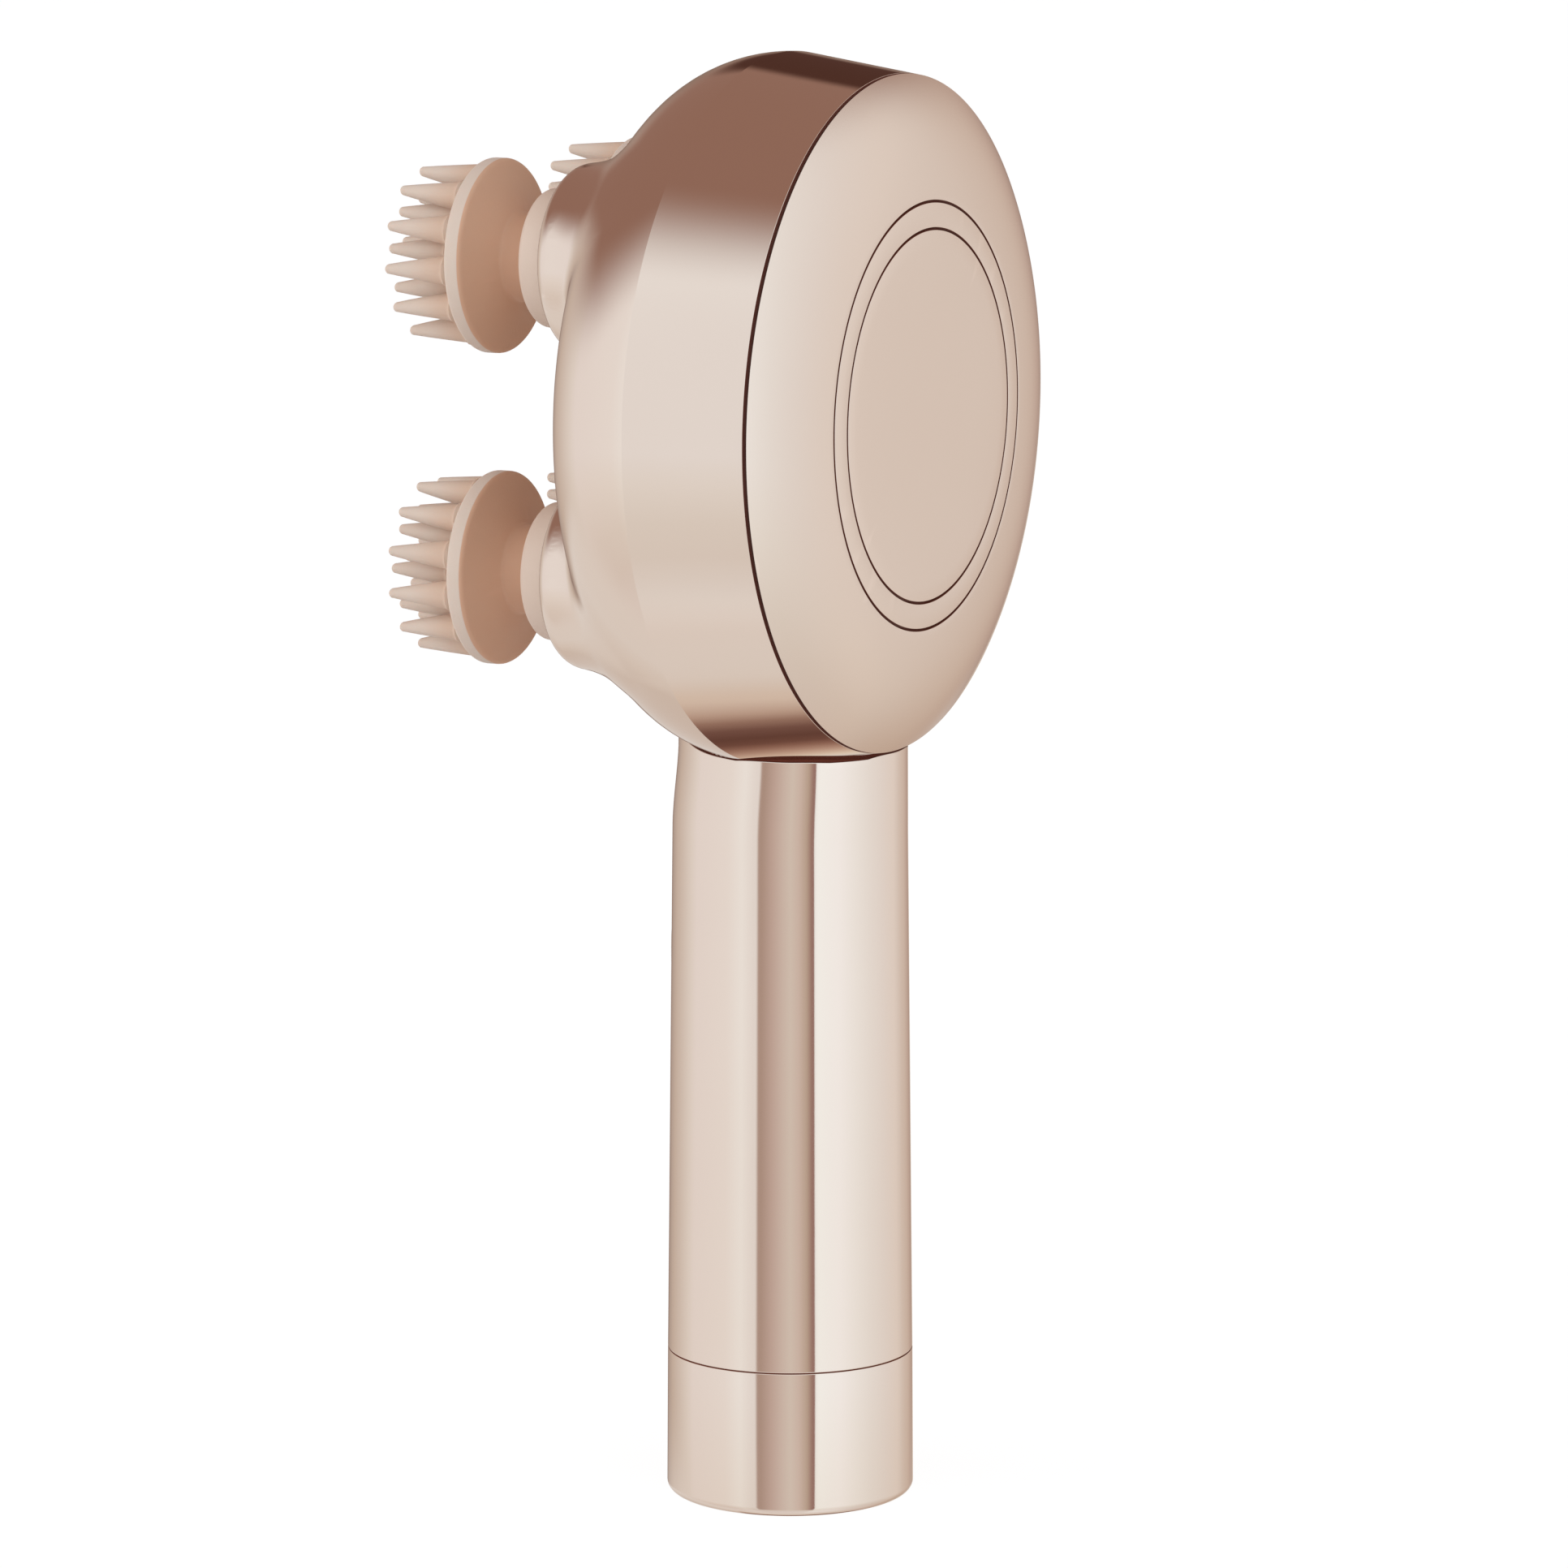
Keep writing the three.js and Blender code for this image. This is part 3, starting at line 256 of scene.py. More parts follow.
def slot_outline(width, height, steps=16):
    """A slot with round ends, as a loop of (across, along) points."""
    radius = min(width, height) / 2
    reach = max(width, height) / 2 - radius
    loop = []
    for end in (1, -1):
        for step in range(steps + 1):
            angle = math.pi * step / steps
            loop.append((end * radius * math.cos(angle), end * (reach + radius * math.sin(angle))))
    return loop if height > width else [(along, -across) for across, along in loop]


print("points round a slot", len(slot_outline(10, 20)))

# %% [markdown]
# ## Finishes
# Each finish is a shader of its own, but the effects inside are shared. Moulded surfaces are never
# perfectly even: plating has a faint orange peel and a slow drift of tone, silicone has a dry skin
# with fine grain, and turned steel has lines. A picture could carry that, but noise on object
# coordinates has no seams and costs nothing to move, so the effects are small node groups.

# %% Node helpers
def add_node(tree, kind, inputs=None, **settings):
    made = tree.nodes.new(kind)
    for name, value in settings.items():
        setattr(made, name, value)
    for name, value in (inputs or {}).items():
        if isinstance(value, bpy.types.NodeSocket):
            tree.links.new(value, made.inputs[name])
        else:
            made.inputs[name].default_value = value
    return made


def new_group(name, inputs, outputs):
    group = bpy.data.node_groups.new(name, "ShaderNodeTree")
    for label, kind, value in inputs:
        socket = group.interface.new_socket(label, in_out="INPUT", socket_type=kind)
        socket.default_value = value
    for label, kind in outputs:
        group.interface.new_socket(label, in_out="OUTPUT", socket_type=kind)
    return group, group.nodes.new("NodeGroupInput"), group.nodes.new("NodeGroupOutput")


COLOUR = "NodeSocketColor"
VALUE = "NodeSocketFloat"
PRINCIPLED = "Principled BSDF"

# %% Surface drift: slow changes of tone and gloss, with a fine grain for the bump
drift_group, drift_in, drift_out = new_group(
    "surface_drift",
    [
        ("Colour", COLOUR, (0.8, 0.8, 0.8, 1)),
        ("Deep Colour", COLOUR, (0.6, 0.6, 0.6, 1)),
        ("Roughness", VALUE, 0.3),
        ("Roughness Change", VALUE, 0.05),
        ("Patch Scale", VALUE, 40),
        ("Grain Scale", VALUE, 900),
    ],
    [("Colour", COLOUR), ("Roughness", VALUE), ("Grain", VALUE)],
)
place = add_node(drift_group, "ShaderNodeTexCoord")
patch = add_node(
    drift_group,
    "ShaderNodeTexNoise",
    {"Vector": place.outputs["Object"], "Scale": drift_in.outputs["Patch Scale"], "Detail": 3},
)
grain = add_node(
    drift_group,
    "ShaderNodeTexNoise",
    {"Vector": place.outputs["Object"], "Scale": drift_in.outputs["Grain Scale"], "Detail": 2},
)
tone = add_node(
    drift_group,
    "ShaderNodeMix",
    {"Factor": patch.outputs["Fac"], "A": drift_in.outputs["Colour"], "B": drift_in.outputs["Deep Colour"]},
    data_type="RGBA",
)
change = add_node(
    drift_group,
    "ShaderNodeMath",
    {0: patch.outputs["Fac"], 1: drift_in.outputs["Roughness Change"], 2: drift_in.outputs["Roughness"]},
    operation="MULTIPLY_ADD",
)
drift_group.links.new(tone.outputs["Result"], drift_out.inputs["Colour"])
drift_group.links.new(change.outputs["Value"], drift_out.inputs["Roughness"])
drift_group.links.new(grain.outputs["Fac"], drift_out.inputs["Grain"])
print("nodes in the drift", len(drift_group.nodes))

# %% Lighter edges: where a surface turns sharply the colour is made a little lighter
lighter_edge_group, lighter_edge_in, lighter_edge_out = new_group(
    "sharp_edge_lightening",
    [
        ("Colour", COLOUR, (0.8, 0.8, 0.8, 1)),
        ("Lighter Edge Colour", COLOUR, (0.9, 0.9, 0.9, 1)),
        ("Amount", VALUE, 0.3),
    ],
    [("Colour", COLOUR)],
)
shape = add_node(lighter_edge_group, "ShaderNodeNewGeometry")
lighter_edge_place = add_node(lighter_edge_group, "ShaderNodeTexCoord")
lighter_edge_noise = add_node(
    lighter_edge_group, "ShaderNodeTexNoise", {"Vector": lighter_edge_place.outputs["Object"], "Scale": 260, "Detail": 4}
)
convex = add_node(
    lighter_edge_group,
    "ShaderNodeMapRange",
    {"Value": shape.outputs["Pointiness"], "From Min": 0.53, "From Max": 0.62},
)
broken = add_node(
    lighter_edge_group,
    "ShaderNodeMath",
    {0: convex.outputs["Result"], 1: lighter_edge_noise.outputs["Fac"]},
    operation="MULTIPLY",
)
lighter_edge_mask = add_node(
    lighter_edge_group,
    "ShaderNodeMath",
    {0: broken.outputs["Value"], 1: lighter_edge_in.outputs["Amount"]},
    operation="MULTIPLY",
)
lightened_edge = add_node(
    lighter_edge_group,
    "ShaderNodeMix",
    {
        "Factor": lighter_edge_mask.outputs["Value"],
        "A": lighter_edge_in.outputs["Colour"],
        "B": lighter_edge_in.outputs["Lighter Edge Colour"],
    },
    data_type="RGBA",
)
lighter_edge_group.links.new(lightened_edge.outputs["Result"], lighter_edge_out.inputs["Colour"])
print("nodes in the rub", len(lighter_edge_group.nodes))

# %% Finish maker: a principled shader fed by the drift group and the lighter-edge group
EDGE_LIGHTER_GAIN = 1.12
EDGE_LIGHTER_LIFT = 0.02
BUMP_DISTANCE = 0.0002


def finish_material(
    name, colour, deep_colour, roughness, change, metallic=0.0, bump=0.02, patch=40, grain=900, edge_lighter=0.0
):
    """A material whose tone drifts between two colours; patch and grain are scales of the noise."""
    material = bpy.data.materials.new(name)
    material.use_nodes = True
    tree = material.node_tree
    shader = tree.nodes[PRINCIPLED]
    drift = add_node(
        tree,
        "ShaderNodeGroup",
        {
            "Colour": (*colour, 1),
            "Deep Colour": (*deep_colour, 1),
            "Roughness": roughness,
            "Roughness Change": change,
            "Patch Scale": patch,
            "Grain Scale": grain,
        },
        node_tree=drift_group,
    )
    tone_socket = drift.outputs["Colour"]
    if edge_lighter > 0:
        lighter = [min(1, value * EDGE_LIGHTER_GAIN + EDGE_LIGHTER_LIFT) for value in colour]
        lighter_edge_node = add_node(
            tree,
            "ShaderNodeGroup",
            {"Colour": tone_socket, "Lighter Edge Colour": (*lighter, 1), "Amount": edge_lighter},
            node_tree=lighter_edge_group,
        )
        tone_socket = lighter_edge_node.outputs["Colour"]
    height = add_node(
        tree,
        "ShaderNodeBump",
        {"Height": drift.outputs["Grain"], "Strength": bump, "Distance": BUMP_DISTANCE},
    )
    tree.links.new(tone_socket, shader.inputs["Base Color"])
    tree.links.new(drift.outputs["Roughness"], shader.inputs["Roughness"])
    tree.links.new(height.outputs["Normal"], shader.inputs["Normal"])
    shader.inputs["Metallic"].default_value = metallic
    return material


def set_socket(material, socket, value):
    material.node_tree.nodes[PRINCIPLED].inputs[socket].default_value = value


# %% Plating: a mirror-like shell and a slightly satin cover in the same champagne
CHAMPAGNE = (0.80, 0.665, 0.575)
DEEP_CHAMPAGNE = (0.77, 0.63, 0.535)
MIRROR_ROUGHNESS = 0.05
SATIN_ROUGHNESS = 0.13
plating = finish_material(
    "champagne_plating",
    CHAMPAGNE,
    DEEP_CHAMPAGNE,
    MIRROR_ROUGHNESS,
    0.03,
    metallic=1,
    bump=0.012,
    patch=22,
    grain=160,
    edge_lighter=0.5,
)
satin_plating = finish_material(
    "satin_champagne_plating",
    CHAMPAGNE,
    DEEP_CHAMPAGNE,
    SATIN_ROUGHNESS,
    0.05,
    metallic=1,
    patch=22,
    grain=500,
    edge_lighter=0.5,
)
print("roughness of shell and cover", MIRROR_ROUGHNESS, SATIN_ROUGHNESS)

# %% Matte collar plastic, and silicone that lets some light in, with a deeper copy that paints shade on the heads' backs
collar_finish = finish_material(
    "matte_collar_plastic",
    (0.735, 0.585, 0.48),
    (0.705, 0.555, 0.45),
    0.42,
    0.08,
    bump=0.12,
    patch=60,
    grain=2600,
    edge_lighter=0.6,
)
silicone = finish_material(
    "soft_silicone",
    (0.70, 0.58, 0.485),
    (0.67, 0.54, 0.445),
    0.58,
    0.12,
    bump=0.16,
    patch=70,
    grain=3000,
    edge_lighter=0.4,
)
# A deeper, redder copy of the silicone: painted shade for the backs and stubs of the dishes
shaded_silicone_back = finish_material(
    "painted_shade_silicone_back",
    (0.68, 0.405, 0.265),
    (0.64, 0.37, 0.235),
    0.62,
    0.1,
    bump=0.12,
    patch=50,
    grain=2400,
    edge_lighter=0.2,
)
for material in (silicone, shaded_silicone_back):
    set_socket(material, "Subsurface Weight", 0.12)
    set_socket(material, "Subsurface Scale", 0.002)
    set_socket(material, "Subsurface Radius", (1.0, 0.45, 0.3))
    set_socket(material, "Sheen Weight", 0.08)
print("soft finishes", silicone.name, shaded_silicone_back.name)

# %% Painted dark shade inside the seams, and the clear light window
# Painted dark shade for what lies inside the seams and gaps
shadow_gap = finish_material(
    "painted_shade_seam", (0.17, 0.042, 0.024), (0.13, 0.032, 0.018), 0.6, 0.1, bump=0.1, patch=60, grain=2000
)
set_socket(shadow_gap, "Specular IOR Level", 0.1)
clear_light = finish_material(
    "light_window", (0.86, 0.84, 0.80), (0.80, 0.78, 0.74), 0.1, 0.05, patch=60, grain=900
)
set_socket(clear_light, "Coat Weight", 0.6)
print("finishes of seam and light", shadow_gap.name, clear_light.name)

# %% Painted shade at the roots of the spikes: their colour goes toward a deeper tan near the dish, and their tips stay pale
SPIKE_TIPS = -44.5 * MM
DISH_FRONT = -36.8 * MM
DEEPEST_TONE = DISH_FRONT - 1.2 * MM
TONE_START = DISH_FRONT - 0.9 * MM
# Colour of the painted shade between the spikes, at their roots
ROOT_SHADE_TONE = (0.64, 0.455, 0.34, 1)
silicone_tree = silicone.node_tree
silicone_place = add_node(silicone_tree, "ShaderNodeTexCoord").outputs["Object"]
along_spike = add_node(silicone_tree, "ShaderNodeSeparateXYZ", {0: silicone_place}).outputs["Y"]
root_share = add_node(
    silicone_tree,
    "ShaderNodeMapRange",
    {"Value": along_spike, "From Min": SPIKE_TIPS, "From Max": DEEPEST_TONE},
    interpolation_type="SMOOTHSTEP",
).outputs["Result"]
in_front = add_node(
    silicone_tree,
    "ShaderNodeMapRange",
    {"Value": along_spike, "From Min": DISH_FRONT, "From Max": TONE_START},
).outputs["Result"]
root_shade_share = add_node(
    silicone_tree, "ShaderNodeMath", {0: root_share, 1: in_front}, operation="MULTIPLY"
).outputs["Value"]
silicone_base = silicone_tree.nodes[PRINCIPLED].inputs["Base Color"]
toned = add_node(
    silicone_tree,
    "ShaderNodeMix",
    {"Factor": root_shade_share, "A": silicone_base.links[0].from_socket, "B": ROOT_SHADE_TONE},
    data_type="RGBA",
).outputs["Result"]
silicone_tree.links.new(toned, silicone_base)
print("tone deepens over mm", round((DEEPEST_TONE - SPIKE_TIPS) / MM, 1))

# %% Finishes of the parts inside: colour, deep colour, roughness, change, metallic, bump, patch, grain
INSIDE_FINISHES = {
    "white_gear_plastic": ((0.80, 0.78, 0.72), (0.74, 0.72, 0.66), 0.38, 0.12, 0, 0.12, 90, 2200),
    "grey_plastic": ((0.16, 0.155, 0.15), (0.12, 0.118, 0.115), 0.5, 0.15, 0, 0.2, 90, 2200),
    "brown_neck_seal": ((0.20, 0.055, 0.034), (0.15, 0.04, 0.025), 0.55, 0.15, 0, 0.2, 90, 2400),
    "black_seal_rubber": ((0.025, 0.024, 0.023), (0.018, 0.017, 0.016), 0.65, 0.15, 0, 0.25, 90, 2600),
    "turned_steel": ((0.56, 0.57, 0.58), (0.48, 0.49, 0.5), 0.25, 0.18, 1, 0.1, 300, 3000),
    "cast_alloy": ((0.58, 0.58, 0.59), (0.5, 0.5, 0.51), 0.38, 0.15, 1, 0.25, 120, 2400),
    "sintered_bronze": ((0.55, 0.36, 0.17), (0.44, 0.27, 0.12), 0.4, 0.2, 1, 0.3, 300, 3600),
    "green_circuit_board": ((0.03, 0.13, 0.055), (0.02, 0.09, 0.04), 0.32, 0.15, 0, 0.1, 260, 1800),
    "blue_cell_wrap": ((0.06, 0.19, 0.32), (0.045, 0.15, 0.26), 0.35, 0.15, 0, 0.1, 80, 1200),
    "red_insulation": ((0.42, 0.03, 0.02), (0.34, 0.02, 0.015), 0.42, 0.1, 0, 0.08, 200, 2200),
    "black_insulation": ((0.02, 0.02, 0.02), (0.014, 0.014, 0.014), 0.42, 0.1, 0, 0.08, 200, 2200),
}
inside = {name: finish_material(name, *values) for name, values in INSIDE_FINISHES.items()}
print("finishes of the parts inside", len(inside))

# %% [markdown]
# ## The head's shell
# On the real object the drum wall, the domed front and the four lobes are one moulding. Each lobe
# flares like a trumpet until it lies along the dome, and a narrow fillet runs round its foot.
# Booleans would leave hard creases there, and a voxel remesh would ripple in the plating. So the
# shape is written as a distance: how far a point is from the dome, the raised front disc and the
# nearest lobe, joined by a smooth minimum, which makes the fillet. Points are laid out over the
# disc, pushed on to the surface and joined by a Delaunay mesh, and more points are put in wherever
# the surface turns quickly. The same distance gives each point's true normal, so reflections stay
# calm.

# %% Sizes of the dome, the raised disc and the lobes
DOME_REACH = 12.5
DOME_DEPTH = 16.1
FRONT_Y = -17.3
FRONT_RADIUS = 38.8
DISC_ROUNDING = 0.5
DISC_BLEND = 0.8
LOBE_DISTANCE = math.hypot(*LOBE_CENTRES[0])
LOBE_RADIUS = 13.75
LOBE_ROUNDING = 2.6
LOBE_FILLET = 1.5
FILLET_END = 0.1
FILLET_FADE = (-14, -6.5)
FLARE_START = -21
FLARE_RATE = 0.0627
FLARE_POWER = 1.74
FOLLOW_DOME = (-13, -7)
print("lobes stand at", round(LOBE_DISTANCE, 1), "from the head's axis")

# %% Ways to join distances, and a soft step
def blend_min(a, b, width):
    """The smaller of two distances, with a soft change from one to the other."""
    overlap = np.maximum(width - np.abs(a - b), 0) / width
    return np.minimum(a, b) - overlap**2 * width / 4


def rounded_corner(across, along, rounding):
    """Distance from a corner that two faces make, given the distances from the faces."""
    u, v = across + rounding, along + rounding
    return np.minimum(np.maximum(u, v), 0) + np.hypot(np.maximum(u, 0), np.maximum(v, 0)) - rounding


def ease(value, start, end):
    share = np.clip((value - start) / (end - start), 0, 1)
    return share * share * (3 - 2 * share)


print("soft step a quarter of the way", round(float(ease(0.25, 0, 1)), 3))

# %% Distance from the head's outer surface, in the head's own frame
SLOPE_STEP = 0.01
NORMAL_STEP = 0.001
FAR_AWAY = 1000


def dome_distance(radius, y):
    taper = (CREASE_RADIUS - RIM_RADIUS) / (RIM_Y - CREASE_Y)
    radius = radius + taper * np.maximum(y - CREASE_Y, 0)
    across = np.maximum(radius - (CREASE_RADIUS - DOME_REACH), 0) / DOME_REACH
    along = np.maximum(CREASE_Y - y, 0) / DOME_DEPTH
    reach = np.maximum(np.hypot(across, along), 1e-9)
    steepness = np.hypot(across / DOME_REACH, along / DOME_DEPTH) / reach
    return (reach - 1) / np.maximum(steepness, 1e-9)


def lobe_radius(y):
    """The trumpet's radius; toward the crease it follows the dome's own outline from inside."""
    flare = LOBE_RADIUS + FLARE_RATE * np.maximum(y - FLARE_START, 0) ** FLARE_POWER
    depth = np.clip((CREASE_Y - y) / DOME_DEPTH, 0, 1)
    along_dome = CREASE_RADIUS - DOME_REACH * (1 - np.sqrt(1 - depth**2)) - LOBE_DISTANCE
    return flare + (along_dome - flare) * ease(y, *FOLLOW_DOME)


def head_distance(x, y, z):
    radius = np.hypot(x, z)
    front = rounded_corner(radius - FRONT_RADIUS, FRONT_Y - y, DISC_ROUNDING)
    body = blend_min(dome_distance(radius, y), front, DISC_BLEND)
    lobe_here = lobe_radius(y)
    slope = (lobe_radius(y + SLOPE_STEP) - lobe_radius(y - SLOPE_STEP)) / (2 * SLOPE_STEP)
    lobes = np.full_like(body, FAR_AWAY)
    for centre_x, centre_z in LOBE_CENTRES:
        side = (np.hypot(x - centre_x, z - centre_z) - lobe_here) / np.hypot(1, slope)
        lobes = np.minimum(lobes, rounded_corner(side, LOBE_END - y, LOBE_ROUNDING))
    fillet = LOBE_FILLET + (FILLET_END - LOBE_FILLET) * ease(y, *FILLET_FADE)
    return blend_min(body, lobes, fillet)


def head_normals(points):
    slopes = []
    for axis in range(3):
        shift = np.zeros(3)
        shift[axis] = NORMAL_STEP
        slopes.append(head_distance(*(points + shift).T) - head_distance(*(points - shift).T))
    normals = np.stack(slopes, axis=1)
    return normals / np.linalg.norm(normals, axis=1, keepdims=True)


rim_point = np.array([0.0]), np.array([RIM_Y]), np.array([RIM_RADIUS])
print("distance at the rim", round(float(head_distance(*rim_point)[0]), 3))

# %% Push a point of the flat layout out along the dome's normal on to the surface
DOME_START = CREASE_RADIUS - DOME_REACH
REACH_LOW = -1
REACH_HIGH = 9
REACH_STEP = 0.2
HALVINGS = 26


def push_out(flat):
    """Surface points over a flat layout, their normals, and which of them lie on the crease."""
    radius = np.hypot(*flat.T)
    lean = np.clip((radius - DOME_START) / DOME_REACH, 0, 1)
    rise = np.sqrt(1 - lean**2)
    toward_side, toward_front = lean / DOME_REACH, rise / DOME_DEPTH
    length = np.hypot(toward_side, toward_front)
    sideways = flat / np.maximum(radius, 1e-6)[:, None] * (toward_side / length)[:, None]
    outward = np.stack([sideways[:, 0], -toward_front / length, sideways[:, 1]], axis=1)
    start = np.stack([flat[:, 0], CREASE_Y - DOME_DEPTH * rise, flat[:, 1]], axis=1)
    inside = np.full(len(flat), float(REACH_LOW))
    outside = np.full(len(flat), float(REACH_HIGH))
    for reach in np.arange(REACH_HIGH - REACH_STEP, REACH_LOW, -REACH_STEP):
        fresh = (head_distance(*(start + outward * reach).T) < 0) & (inside == REACH_LOW)
        inside[fresh] = reach
        outside[fresh] = reach + REACH_STEP
    for _ in range(HALVINGS):
        middle = (inside + outside) / 2
        is_inside = head_distance(*(start + outward * middle[:, None]).T) < 0
        inside = np.where(is_inside, middle, inside)
        outside = np.where(is_inside, outside, middle)
    skin = start + outward * middle[:, None]
    normals = head_normals(skin)
    at_crease = radius > CREASE_RADIUS - TOUCHING
    skin[at_crease] = start[at_crease]
    normals[at_crease] = outward[at_crease]
    return skin, normals, at_crease


centre_skin, _, _ = push_out(np.zeros((1, 2)))
print("disc in front of the crease by", round(CREASE_Y - float(centre_skin[0, 1]), 2))


# %% First layout: circles on the dome, circles round each lobe, a triangle grid on the disc
def circle_of_points(centre, radius, count):
    angles = 2 * math.pi * np.arange(count) / count
    return np.stack([centre[0] + radius * np.cos(angles), centre[1] + radius * np.sin(angles)], axis=1)


def from_lobes(flat):
    return np.min([np.hypot(flat[:, 0] - x, flat[:, 1] - z) for x, z in LOBE_CENTRES], axis=0)


BORE_RADIUS = 4.3
DOME_RINGS = 20
LOBE_SEGMENTS = 96
LOBE_RINGS = [BORE_RADIUS, 7, 9.5, 11, 12, 12.8, 13.4, 13.7, 13.9]
LOBE_RINGS += [14.15, 14.5, 14.9, 15.4, 16, 16.8, 17.7, 18.7]
LOBE_REACH = LOBE_RINGS[-1] + 0.5
GRID_STEP = 1.4
GRID_HALF = 32
GRID_MARGIN = 0.6
CREASE_MARGIN = 0.4
spread = []
for ring_number in range(1, DOME_RINGS):
    ring_radius = DOME_START + DOME_REACH * math.cos(math.pi / 2 * ring_number / DOME_RINGS)
    spread.append(circle_of_points((0, 0), ring_radius, DRUM_SEGMENTS))
for row in range(-GRID_HALF, GRID_HALF + 1):
    across = (np.arange(-GRID_HALF, GRID_HALF + 1) + 0.5 * (row % 2)) * GRID_STEP
    line = np.stack([across, np.full(len(across), row * GRID_STEP * math.sqrt(3) / 2)], axis=1)
    spread.append(line[np.hypot(*line.T) < DOME_START - GRID_MARGIN])
spread = np.concatenate(spread)
around = np.concatenate([circle_of_points(c, r, LOBE_SEGMENTS) for c in LOBE_CENTRES for r in LOBE_RINGS])
around = around[np.hypot(*around.T) < CREASE_RADIUS - CREASE_MARGIN]
crease_points = circle_of_points((0, 0), CREASE_RADIUS, DRUM_SEGMENTS)
flat_points = np.concatenate([crease_points, spread[from_lobes(spread) > LOBE_REACH], around])
print("points in the first layout", len(flat_points))

# %% Join the layout, and put points in where the surface turns quickly
REFINE_ROUNDS = 4
FAST_TURN = 9.5
SLIGHT_TURN = 1
SHORTEST_SPLIT = 0.16
LONGEST_EDGE = 2.2
BORE_MARGIN = 0.1
for refine_round in range(REFINE_ROUNDS + 1):
    joined, _, triangles, *_ = delaunay_2d_cdt([Vector(point) for point in flat_points], [], [], 0, 1e-5)
    flat_points = np.array([tuple(point) for point in joined])
    triangles = np.array(triangles)
    triangles = triangles[from_lobes(flat_points[triangles].mean(axis=1)) > BORE_RADIUS * 0.999]
    skin, skin_normals, at_crease = push_out(flat_points)
    if refine_round == REFINE_ROUNDS:
        break
    all_edges = np.concatenate([triangles[:, [0, 1]], triangles[:, [1, 2]], triangles[:, [2, 0]]])
    a, b = np.unique(np.sort(all_edges, axis=1), axis=0).T
    turn = np.degrees(np.arccos(np.clip((skin_normals[a] * skin_normals[b]).sum(axis=1), -1, 1)))
    length = np.linalg.norm(skin[a] - skin[b], axis=1)
    split = (turn > FAST_TURN) & (length > SHORTEST_SPLIT)
    split |= (length > LONGEST_EDGE) & (turn > SLIGHT_TURN)
    split &= ~(at_crease[a] & at_crease[b])
    split &= from_lobes(flat_points[a]) > BORE_RADIUS + BORE_MARGIN
    flat_points = np.concatenate([flat_points, (flat_points[a[split]] + flat_points[b[split]]) / 2])
print("front points", len(flat_points), "triangles", len(triangles))
print("front reaches y", round(float(skin[:, 1].min()), 2))

# %% Outer skin, inner skin and the walls of the four bores
crease_ring = np.nonzero(at_crease)[0]
crease_ring = crease_ring[np.argsort(np.arctan2(skin[crease_ring, 2], skin[crease_ring, 0]))].tolist()
inner_skin = skin - skin_normals * SHELL_WALL
inner_offset = len(skin)
shell_points = [*map(tuple, skin), *map(tuple, inner_skin)]
shell_faces = [tuple(face) for face in triangles]
front_count = len(shell_faces)
shell_faces += [tuple(face[::-1] + inner_offset) for face in triangles]
directed = {}
for a, b, c in triangles.tolist():
    for edge in ((a, b), (b, c), (c, a)):
        directed[edge] = True
on_crease = set(crease_ring)
for a, b in directed:
    if (b, a) not in directed and not (a in on_crease and b in on_crease):
        shell_faces.append((b, a, a + inner_offset, b + inner_offset))
print("faces round the bores", len(shell_faces) - 2 * front_count)

# %% Drum wall: it stops short of the cover, and that groove, painted in dark shade, is the seam between them
WALL_ROUNDING = 0.05
COVER_GAP = 0.62
taper = (CREASE_RADIUS - RIM_RADIUS) / (RIM_Y - CREASE_Y)
wall_end = RIM_Y - COVER_GAP
end_radius = RIM_RADIUS + taper * COVER_GAP
wall_outline = rounded(
    [
        (CREASE_RADIUS, CREASE_Y, 0),
        (end_radius, wall_end, WALL_ROUNDING),
        (end_radius - SHELL_WALL, wall_end, 0),
        (CREASE_RADIUS - SHELL_WALL, CREASE_Y, 0),
    ]
)
rings = [crease_ring]
for radius, y in wall_outline[1:-1]:
    scale = radius / CREASE_RADIUS
    rings.append(list(range(len(shell_points), len(shell_points) + DRUM_SEGMENTS)))
    shell_points += [(skin[index, 0] * scale, y, skin[index, 2] * scale) for index in crease_ring]
rings.append([index + inner_offset for index in crease_ring])
wall_start = len(shell_faces)
gap_start = wall_start + (len(rings) - 3) * DRUM_SEGMENTS
for low, high in zip(rings, rings[1:]):
    for i in range(DRUM_SEGMENTS):
        j = (i + 1) % DRUM_SEGMENTS
        shell_faces.append((low[i], high[i], high[j], low[j]))
print("wall from radius", round(CREASE_RADIUS, 2), "to", round(end_radius, 2), "faces", len(shell_faces))

# %% The head's mesh, its groove painted in dark shade, and its true normals
lifted = [(x, y, z + HEAD_Z) for x, y, z in shell_points]
head_skin = add_piece("head_skin", lifted, shell_faces, [plating, shadow_gap])
head_skin.data.shade_smooth()
wall_lean = Vector((1, taper)).normalized()
loop_normals = []
for polygon in head_skin.data.polygons:
    # Faces inside the groove get painted dark shade
    if polygon.index >= gap_start:
        polygon.material_index = 1
    for loop in polygon.loop_indices:
        vertex = head_skin.data.loops[loop].vertex_index
        if polygon.index < front_count:
            loop_normals.append(tuple(skin_normals[vertex]))
        elif wall_start <= polygon.index < wall_start + DRUM_SEGMENTS:
            x, _, z = shell_points[vertex]
            radius = math.hypot(x, z)
            loop_normals.append((x / radius * wall_lean.x, wall_lean.y, z / radius * wall_lean.x))
        else:
            loop_normals.append((0, 0, 0))
head_skin.data.normals_split_custom_set(loop_normals)
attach(head_skin, "housing")
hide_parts("head_shell")
print("head faces", len(shell_faces))

